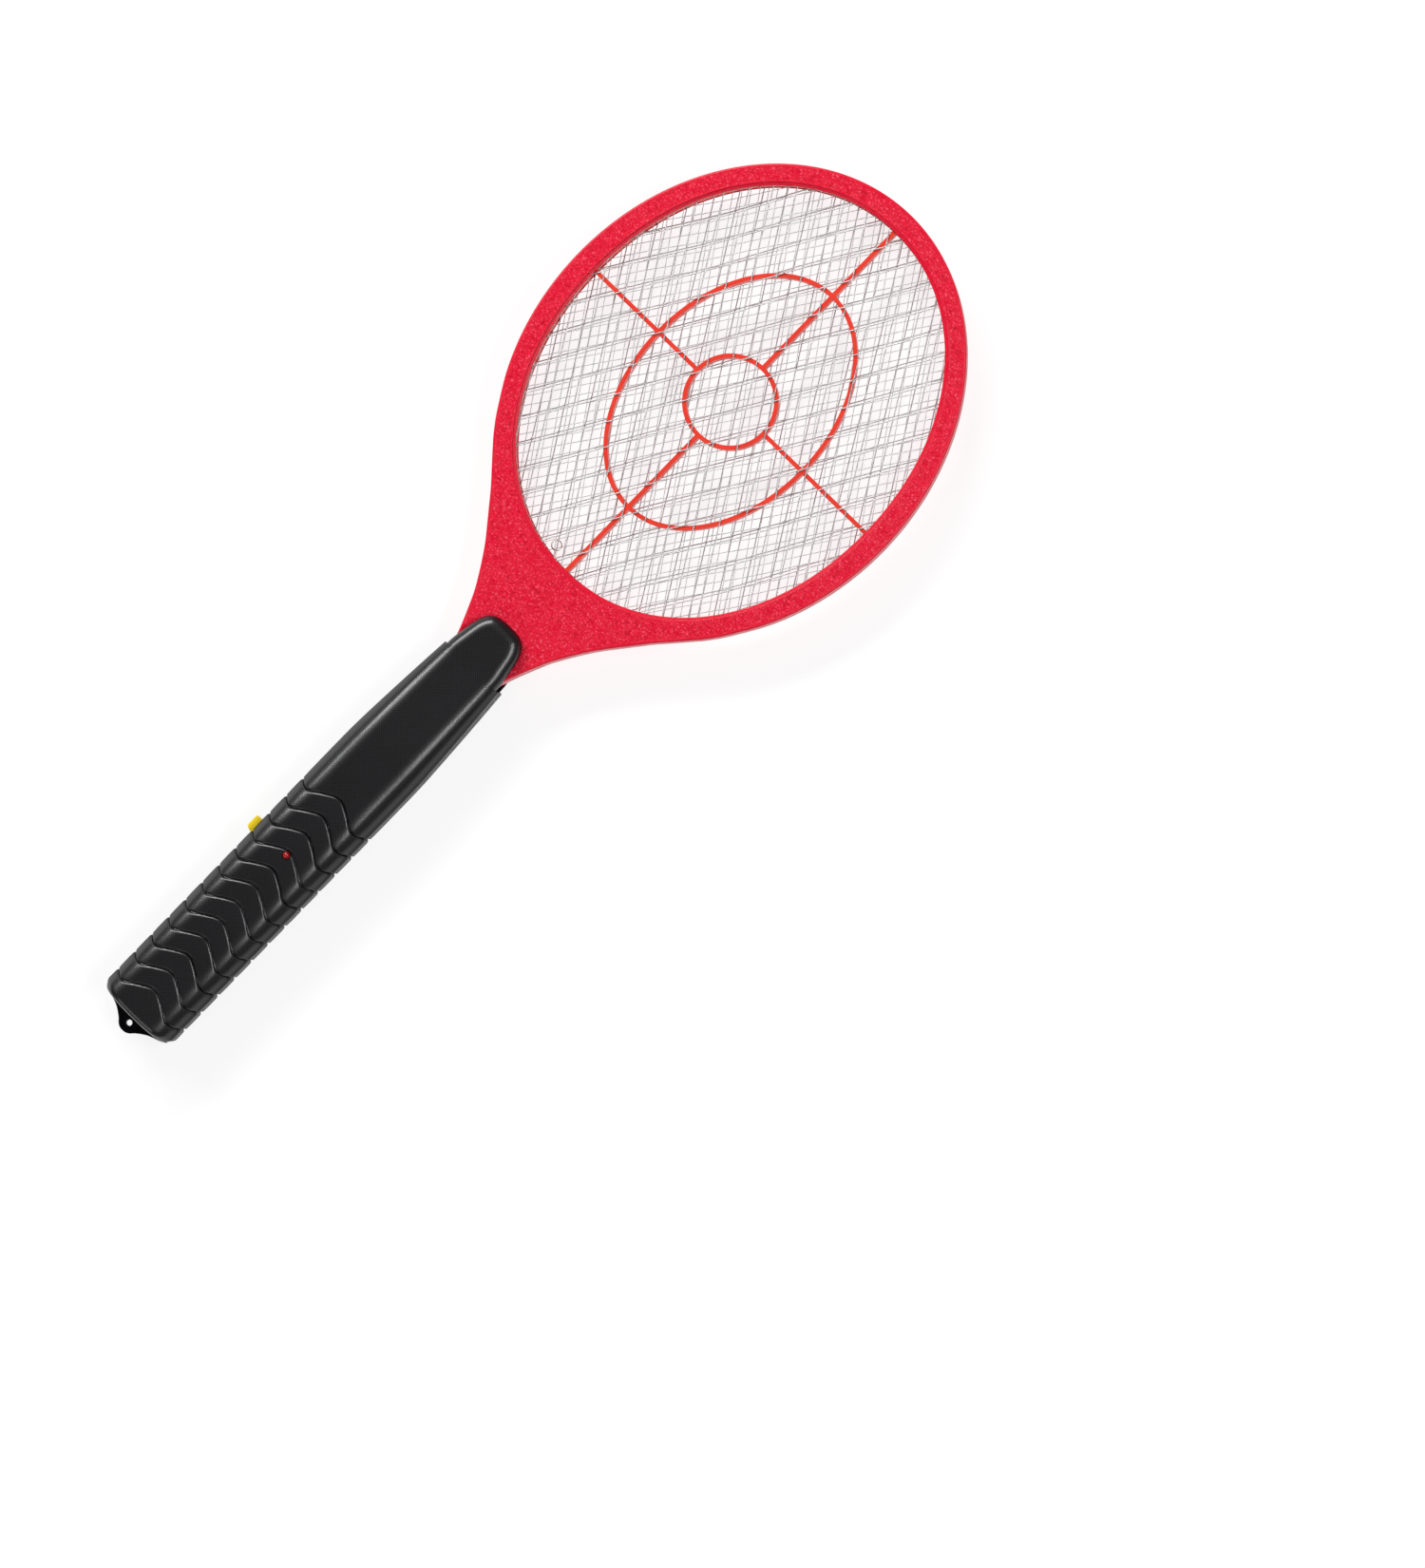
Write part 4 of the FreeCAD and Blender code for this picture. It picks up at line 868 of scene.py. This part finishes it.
def tongue_mesh(front, r=4.2, zt=25.48, y0=194.9):
    """The smooth end of a shell that lies on the racket's neck, as a closed lump."""
    c = TCURVE[TCURVE[:, 1] >= y0]
    c = np.vstack([[np.interp(y0, [193.5, 198], [13.25, 13.22]), y0], c, [-np.interp(y0, [193.5, 198], [13.25, 13.22]), y0]])
    t = np.gradient(c, axis=0)
    t /= np.linalg.norm(t, axis=1)[:, None]
    nrm = np.stack([-t[:, 1], t[:, 0]], 1)          # inwards for a curve that runs from +X over the tip to -X
    nrm[0], nrm[-1] = (-1, 0), (1, 0)
    n = len(c)
    rings = [(0.0, MID + 6.06), (0.0, zt - r)]
    for k in range(1, 17):
        a = math.radians(90 * k / 16)
        rings.append((1.22 * r * (1 - math.cos(a)), zt - r + r * math.sin(a)))
    v, f = [], []
    for ins, z in rings:
        p = c + nrm * ins
        p[:, 1] = np.where(c[:, 1] <= y0 + 1e-6, y0, p[:, 1])
        for q in p:
            v.append((q[0], q[1], z if front else 2 * MID - z))
    f += grid_faces(len(rings), n, True)
    f.append(tuple(range(n)))
    f.append(tuple((len(rings) - 1) * n + i for i in range(n)))
    return v, f


def cut_with(ob, cutters, union=False):
    """Takes closed cutter meshes out of a closed mesh, or adds them to it."""
    cv, cf = add_meshes(cutters)
    me = bpy.data.meshes.new("cut")
    v = np.array(cv, float)
    v[:, 1] -= HALF
    me.from_pydata((v * MM).tolist(), [], cf)
    me.update()
    c = bpy.data.objects.new("cut", me)
    bpy.context.scene.collection.objects.link(c)
    bm = bmesh.new()
    bm.from_mesh(me)
    bmesh.ops.recalc_face_normals(bm, faces=bm.faces)
    bm.to_mesh(me)
    bm.free()
    m = ob.modifiers.new("b", "BOOLEAN")
    m.operation = "UNION" if union else "DIFFERENCE"
    m.object = c
    m.solver = "EXACT"
    apply_mods(ob)
    bpy.data.objects.remove(c)
    bpy.data.meshes.remove(me)
    return ob


def cyl_mesh(x, y, z0, z1, r, n=40, axis="z"):
    v, f = [], []
    for z in (z0, z1):
        for i in range(n):
            a = 2 * math.pi * i / n
            v.append((x + r * math.cos(a), y + r * math.sin(a), z))
    f += [(i, (i + 1) % n, n + (i + 1) % n, n + i) for i in range(n)]
    f.append(tuple(reversed(range(n))))
    f.append(tuple(range(n, 2 * n)))
    return v, f


def box_mesh(x0, x1, y0, y1, z0, z1):
    v = [(x, y, z) for x in (x0, x1) for y in (y0, y1) for z in (z0, z1)]
    f = [(0, 1, 3, 2), (4, 6, 7, 5), (0, 4, 5, 1), (2, 3, 7, 6), (0, 2, 6, 4), (1, 5, 7, 3)]
    return v, f


def rounded_box(x0, x1, y0, y1, z0, z1, r, seg=3):
    bm = bmesh.new()
    v, f = box_mesh(x0, x1, y0, y1, z0, z1)
    vs = [bm.verts.new(p) for p in v]
    for q in f:
        bm.faces.new([vs[i] for i in q])
    bmesh.ops.recalc_face_normals(bm, faces=bm.faces)
    bmesh.ops.bevel(bm, geom=list(bm.edges), offset=r, segments=seg, affect="EDGES", profile=0.5)
    bm.verts.index_update()
    out = [tuple(p.co) for p in bm.verts], [tuple(p.index for p in q.verts) for q in bm.faces]
    bm.free()
    return out


def add_meshes(parts):
    V, F = [], []
    for v, f in parts:
        b = len(V)
        V += [tuple(p) for p in v]
        F += [tuple(i + b for i in q) for q in f]
    return V, F


def join_into(ob, parts):
    """Adds closed lumps to a piece's mesh."""
    V, F = add_meshes(parts)
    bm = bmesh.new()
    bm.from_mesh(ob.data)
    vs = [bm.verts.new(((x) * MM, (y - HALF) * MM, z * MM)) for x, y, z in V]
    nf = []
    for q in F:
        try:
            nf.append(bm.faces.new([vs[i] for i in q]))
        except ValueError:
            pass
    bmesh.ops.recalc_face_normals(bm, faces=nf)
    for q in nf:
        q.smooth = True
    bm.to_mesh(ob.data)
    bm.free()
    ob.data.update()


def shell_piece(name, front, keep_face, mat, body, replaces, thick=1.8):
    rows, offs = shell_rows(front)
    R, C = rows.shape[:2]
    v = rows.reshape(-1, 3).copy()
    o = offs.reshape(-1, 3).copy()
    faces = grid_faces(R, C)
    keep = []
    ctr = (rows[:-1, :-1] + rows[1:, :-1] + rows[:-1, 1:] + rows[1:, 1:]) / 4
    for i in range(R - 1):
        for j in range(C - 1):
            c = ctr[i, j]
            if keep_face(c[0], c[1], c[2]):
                keep.append(faces[i * (C - 1) + j])
    if not front:
        v[:, 2] = 2 * MID - v[:, 2]
        o[:, 2] = -o[:, 2]
    ob = new_piece(name, v, keep, body, mat, smooth=True, replaces=replaces)
    bm = bmesh.new()
    bm.from_mesh(ob.data)
    lay = bm.verts.layers.float_vector.new("dis")
    for q in bm.verts:
        q[lay] = Vector(o[q.index] * MM)
    bmesh.ops.remove_doubles(bm, verts=bm.verts, dist=4e-6)
    bmesh.ops.dissolve_degenerate(bm, edges=bm.edges, dist=2e-6)
    loose = [x for x in bm.verts if not x.link_faces]
    bmesh.ops.delete(bm, geom=loose, context="VERTS")
    bmesh.ops.recalc_face_normals(bm, faces=bm.faces)
    # the flat has to face away from the parting plane
    s = sum((f.normal.z * f.calc_area()) for f in bm.faces)
    if (s < 0) == front:
        bmesh.ops.reverse_faces(bm, faces=bm.faces)
    bm.to_mesh(ob.data)
    bm.free()
    n0 = len(ob.data.vertices)
    m = ob.modifiers.new("s", "SOLIDIFY")
    m.thickness = thick * MM
    m.offset = -1.0
    m.use_even_offset = False
    m.use_rim = True
    apply_mods(ob)
    # the pattern is on the outside only
    me = ob.data
    n1 = len(me.vertices)
    co = np.empty(n1 * 3)
    me.vertices.foreach_get("co", co)
    ds = np.empty(n1 * 3)
    me.attributes["dis"].data.foreach_get("vector", ds)
    ds[n0 * 3:] = 0
    me.vertices.foreach_set("co", co + ds)
    me.attributes.remove(me.attributes["dis"])
    me.update()
    return ob


def finish_shell(ob, angle=38):
    bm = bmesh.new()
    bm.from_mesh(ob.data)
    bmesh.ops.remove_doubles(bm, verts=bm.verts, dist=2e-6)
    # closes the slits of no width where a long edge runs beside short ones
    bmesh.ops.holes_fill(bm, edges=[e for e in bm.edges if len(e.link_faces) == 1], sides=0)
    for f in bm.faces:
        f.smooth = True
    bm.to_mesh(ob.data)
    bm.free()
    ob.data.set_sharp_from_angle(angle=math.radians(angle))


fs = shell_piece("handle_front", True, lambda x, y, z: True, BLACK, "racket", ["front_shell"])
join_into(fs, [tongue_mesh(True)])
cut_with(fs, [cyl_mesh(0, 94.5, 20, 30, 1.66, 48), box_mesh(-21, -14, 90.0, 97.2, 10, 17.1)])
finish_shell(fs)

SHELL_SCREWS = ((-9.5, 139.0), (9.5, 139.0))
NECK_SCREWS = ((-7.0, 187.0), (7.0, 187.0))
rs = shell_piece("handle_rear", False, lambda x, y, z: not (abs(x) < 12.29 and y < 70.29 and z > 21.75), BLACK, "racket", ["rear_shell"])
cutters = [box_mesh(-21, -14, 90.0, 97.2, 9.9, 17.0), box_mesh(-13.6, 13.6, 5.0, 12.5, 3.3, 5.25)]
for sx, sy in SHELL_SCREWS + NECK_SCREWS:
    cutters.append(cyl_mesh(sx, sy, -2, 3.2, 2.9, 48))
join_into(rs, [tongue_mesh(False)])
cut_with(rs, cutters)


def ring_mesh(x, y, prof, n=48):
    """A closed ring from a closed (radius, z) profile."""
    v, f = [], []
    m = len(prof)
    for r, z in prof:
        for i in range(n):
            a = 2 * math.pi * i / n
            v.append((x + r * math.cos(a), y + r * math.sin(a), z))
    for k in range(m):
        for i in range(n):
            f.append((k * n + i, k * n + (i + 1) % n, ((k + 1) % m) * n + (i + 1) % n, ((k + 1) % m) * n + i))
    return v, f


def plate_mesh(pts, z0, z1, round_r=0.35, seg=3):
    """A closed plate from an outline, with its edges rounded."""
    bm = bmesh.new()
    vs = [bm.verts.new((x, y, z0)) for x, y in pts]
    f = bm.faces.new(vs)
    r = bmesh.ops.extrude_face_region(bm, geom=[f])
    for q in r["geom"]:
        if isinstance(q, bmesh.types.BMVert):
            q.co.z = z1
    bmesh.ops.recalc_face_normals(bm, faces=bm.faces)
    ed = [e for e in bm.edges if abs(e.verts[0].co.z - e.verts[1].co.z) < 1e-6]
    bmesh.ops.bevel(bm, geom=ed, offset=round_r, segments=seg, affect="EDGES", profile=0.5)
    bm.verts.index_update()
    out = [tuple(p.co) for p in bm.verts], [tuple(p.index for p in q.verts) for q in bm.faces]
    bm.free()
    return out


# wells of the screws, and the wall behind the cells
solid = [ring_mesh(sx, sy, [(2.9, 0.45), (3.7, 0.9), (3.7, 4.6), (1.55, 4.6), (1.55, 3.2), (2.9, 3.2)]) for sx, sy in SHELL_SCREWS]
solid += [ring_mesh(sx, sy, [(2.9, 1.95), (3.7, 2.3), (3.7, 4.6), (1.55, 4.6), (1.55, 3.2), (2.9, 3.2)]) for sx, sy in NECK_SCREWS]
solid.append(box_mesh(-15.6, 15.6, 65.1, 66.7, 5.2, 13.4))
join_into(rs, solid)

# hanging lug in the parting plane, with its hole and the small raised bar below it
LUG = np.array([(16.2, 8.7), (13.6, 7.2), (10.7, 6.2), (8.6, 5.35), (7.0, 4.4), (5.6, 3.4), (4.3, 2.35), (3.1, 1.1), (1.7, 0.25), (0.0, 0.0)])
lug_o = smooth_curve(np.vstack([LUG, LUG[::-1][1:] * [-1, 1]]), 108)
lug_v, lug_f = plate_mesh([tuple(p) for p in lug_o], 11.2, MID, 0.30)
lug = new_piece("handle_lug", lug_v, lug_f, "racket", BLACK, smooth=True)
cut_with(lug, [cyl_mesh(0, 4.0, 5, 20, 1.2, 48)])
cut_with(lug, [ring_mesh(0, 4.0, [(1.1, 13.4), (1.1, 13.6), (1.42, 13.6)])])
bar_v, bar_f = rounded_box(-0.95, 0.95, 2.0, 2.42, 13.2, 13.72, 0.12, 2)
join_into(lug, [(bar_v, bar_f)])
finish_shell(lug, 35)
finish_shell(rs)


# ---------------------------------------------------------------- battery cover
bc = shell_piece("cover_plate", False, lambda x, y, z: abs(x) < 12.01 and y < 70.01 and z > 22.05, BLACK, "cover", ["battery_cover"])
grip = [box_mesh(-6.0, 6.0, 13.4 + 1.5 * k, 14.1 + 1.5 * k, -1, 0.45) for k in range(5)]
cut_with(bc, grip)
inner = []
for s in (-1, 1):
    x0, x1 = sorted((s * 10.8, s * 11.3))
    inner.append(rounded_box(x0, x1, 9.0, 69.2, 1.5, 4.9, 0.12, 2))
    x0, x1 = sorted((s * 10.8, s * 13.2))
    inner.append(rounded_box(x0, x1, 12.0, 69.2, 3.85, 4.9, 0.2, 2))
inner.append(rounded_box(-4, 4, 65.5, 73.0, 2.15, 3.2, 0.25, 3))
inner.append(rounded_box(-4, 4, 65.5, 69.8, 1.5, 2.6, 0.15, 2))
for y in (24.0, 40.0, 56.0):
    inner.append(rounded_box(-10.6, 10.6, y, y + 1.0, 1.5, 2.5, 0.15, 2))
join_into(bc, inner)
finish_shell(bc)

# ---------------------------------------------------------------- push button
BO = [(-14.45, 96.87), (-19.9, 96.87), (-20.25, 96.75), (-20.4, 96.4), (-20.4, 92.2), (-20.3, 91.75), (-20.0, 91.35), (-19.5, 91.0), (-18.6, 90.7),
      (-17.6, 90.45), (-16.9, 90.36), (-16.4, 90.33), (-14.45, 90.33)]
bz, bh = 13.5, 3.27
pv, pf = plate_mesh(BO, bz - bh, bz + bh, 0.45, 4)
btn_parts = [(pv, pf), rounded_box(-15.4, -14.4, 93.6 - 4.6, 93.6 + 4.6, bz - 4.6, bz + 4.6, 0.2, 2)]
for k in range(3):          # finger ridges on the outer face
    yk = 93.0 + 1.3 * k
    btn_parts.append(rounded_box(-20.4, -20.0, yk - 0.28, yk + 0.28, bz - 2.4, bz + 2.4, 0.12, 2))
V_, F_ = add_meshes(btn_parts)
pb = new_piece("button_cap", V_, F_, "button", YELLOW, smooth=True, replaces=["push_button"])
outward(pb)
finish_shell(pb, 40)


# ---------------------------------------------------------------- camera
S = 0.3678                      # mm in one picture element of a 1500-wide picture
DIST = 3000.0
tilt_x, tilt_y = 4.5, 2.0       # the camera stands a little to +X and +Y of the face's normal
nvec = Vector((math.sin(math.radians(tilt_x)), math.sin(math.radians(tilt_y)), 1.0)).normalized()
ang = math.radians(45.8)
# the picture's right, such that +Y runs at 45.8 degrees in the picture
yproj = (Vector((0, 1, 0)) - nvec * nvec.y).normalized()
side = yproj.cross(nvec)          # to the right of yproj, seen by the camera
right = yproj * math.cos(ang) + side * math.sin(ang)
right.normalize()
up = nvec.cross(right)
ring = Vector((0, HCY - HALF, MID + 3.6))
centre = ring - right * ((768.6 - 750) * S) - up * ((825 - 422.6) * S)
pos = centre + nvec * DIST
cam_data = bpy.data.cameras.new("camera")
cam = bpy.data.objects.new("camera", cam_data)
bpy.context.scene.collection.objects.link(cam)
rot = Matrix((right, up, nvec)).transposed()
cam.matrix_world = Matrix.Translation(pos * MM) @ rot.to_4x4()
cam_data.sensor_fit = "HORIZONTAL"
cam_data.sensor_width = 36.0
cam_data.lens = 36.0 * DIST / (1500 * S)
cam_data.clip_start = 0.05
cam_data.clip_end = 20
bpy.context.scene.camera = cam

# ---------------------------------------------------------------- stage and light
me = bpy.data.meshes.new("floor")
me.from_pydata([(-3, -3, -0.0004), (3, -3, -0.0004), (3, 3, -0.0004), (-3, 3, -0.0004)], [], [(0, 1, 2, 3)])
floor = bpy.data.objects.new("floor", me)
bpy.context.scene.collection.objects.link(floor)
fm = bpy.data.materials.new("floor_white")
fm.use_nodes = True
fb = fm.node_tree.nodes["Principled BSDF"]
fb.inputs["Base Color"].default_value = (0.26, 0.26, 0.26, 1)
fb.inputs["Roughness"].default_value = 0.95
fb.inputs["Specular IOR Level"].default_value = 0.0
fb.inputs["Emission Color"].default_value = (1, 1, 1, 1)
fb.inputs["Emission Strength"].default_value = 0.80
fnt = fm.node_tree
geo = fnt.nodes.new("ShaderNodeNewGeometry")
mix = fnt.nodes.new("ShaderNodeMixShader")
clear = fnt.nodes.new("ShaderNodeBsdfTransparent")
fnt.links.new(geo.outputs["Backfacing"], mix.inputs["Fac"])
fnt.links.new(fb.outputs["BSDF"], mix.inputs[1])
fnt.links.new(clear.outputs["BSDF"], mix.inputs[2])
fnt.links.new(mix.outputs["Shader"], fnt.nodes["Material Output"].inputs["Surface"])
me.materials.append(fm)


def area(name, loc, target, size, power, color=(1, 1, 1), size_y=None):
    ld = bpy.data.lights.new(name, "AREA")
    ld.energy = power
    ld.color = color
    ld.size = size
    if size_y:
        ld.shape = "RECTANGLE"
        ld.size_y = size_y
    ob = bpy.data.objects.new(name, ld)
    bpy.context.scene.collection.objects.link(ob)
    ob.location = loc
    d = Vector(target) - Vector(loc)
    ob.rotation_euler = d.to_track_quat("-Z", "Y").to_euler()
    return ob


area("key_left", (-1.25, 0.50, 1.06), (0, 0.02, 0), 1.5, 25.0, size_y=0.34)
area("key_right", (0.80, 0.42, 1.52), (0, 0.02, 0), 1.3, 14.0, size_y=0.26)
area("fill", (0.1, -1.5, 1.3), (0, 0, 0), 0.9, 5.0, size_y=0.7)

w = bpy.data.worlds.new("world")
bpy.context.scene.world = w
w.use_nodes = True
w.node_tree.nodes["Background"].inputs["Color"].default_value = (1, 1, 1, 1)
w.node_tree.nodes["Background"].inputs["Strength"].default_value = 0.09
bpy.context.scene.view_settings.view_transform = "Standard"
bpy.context.scene.view_settings.look = "None"
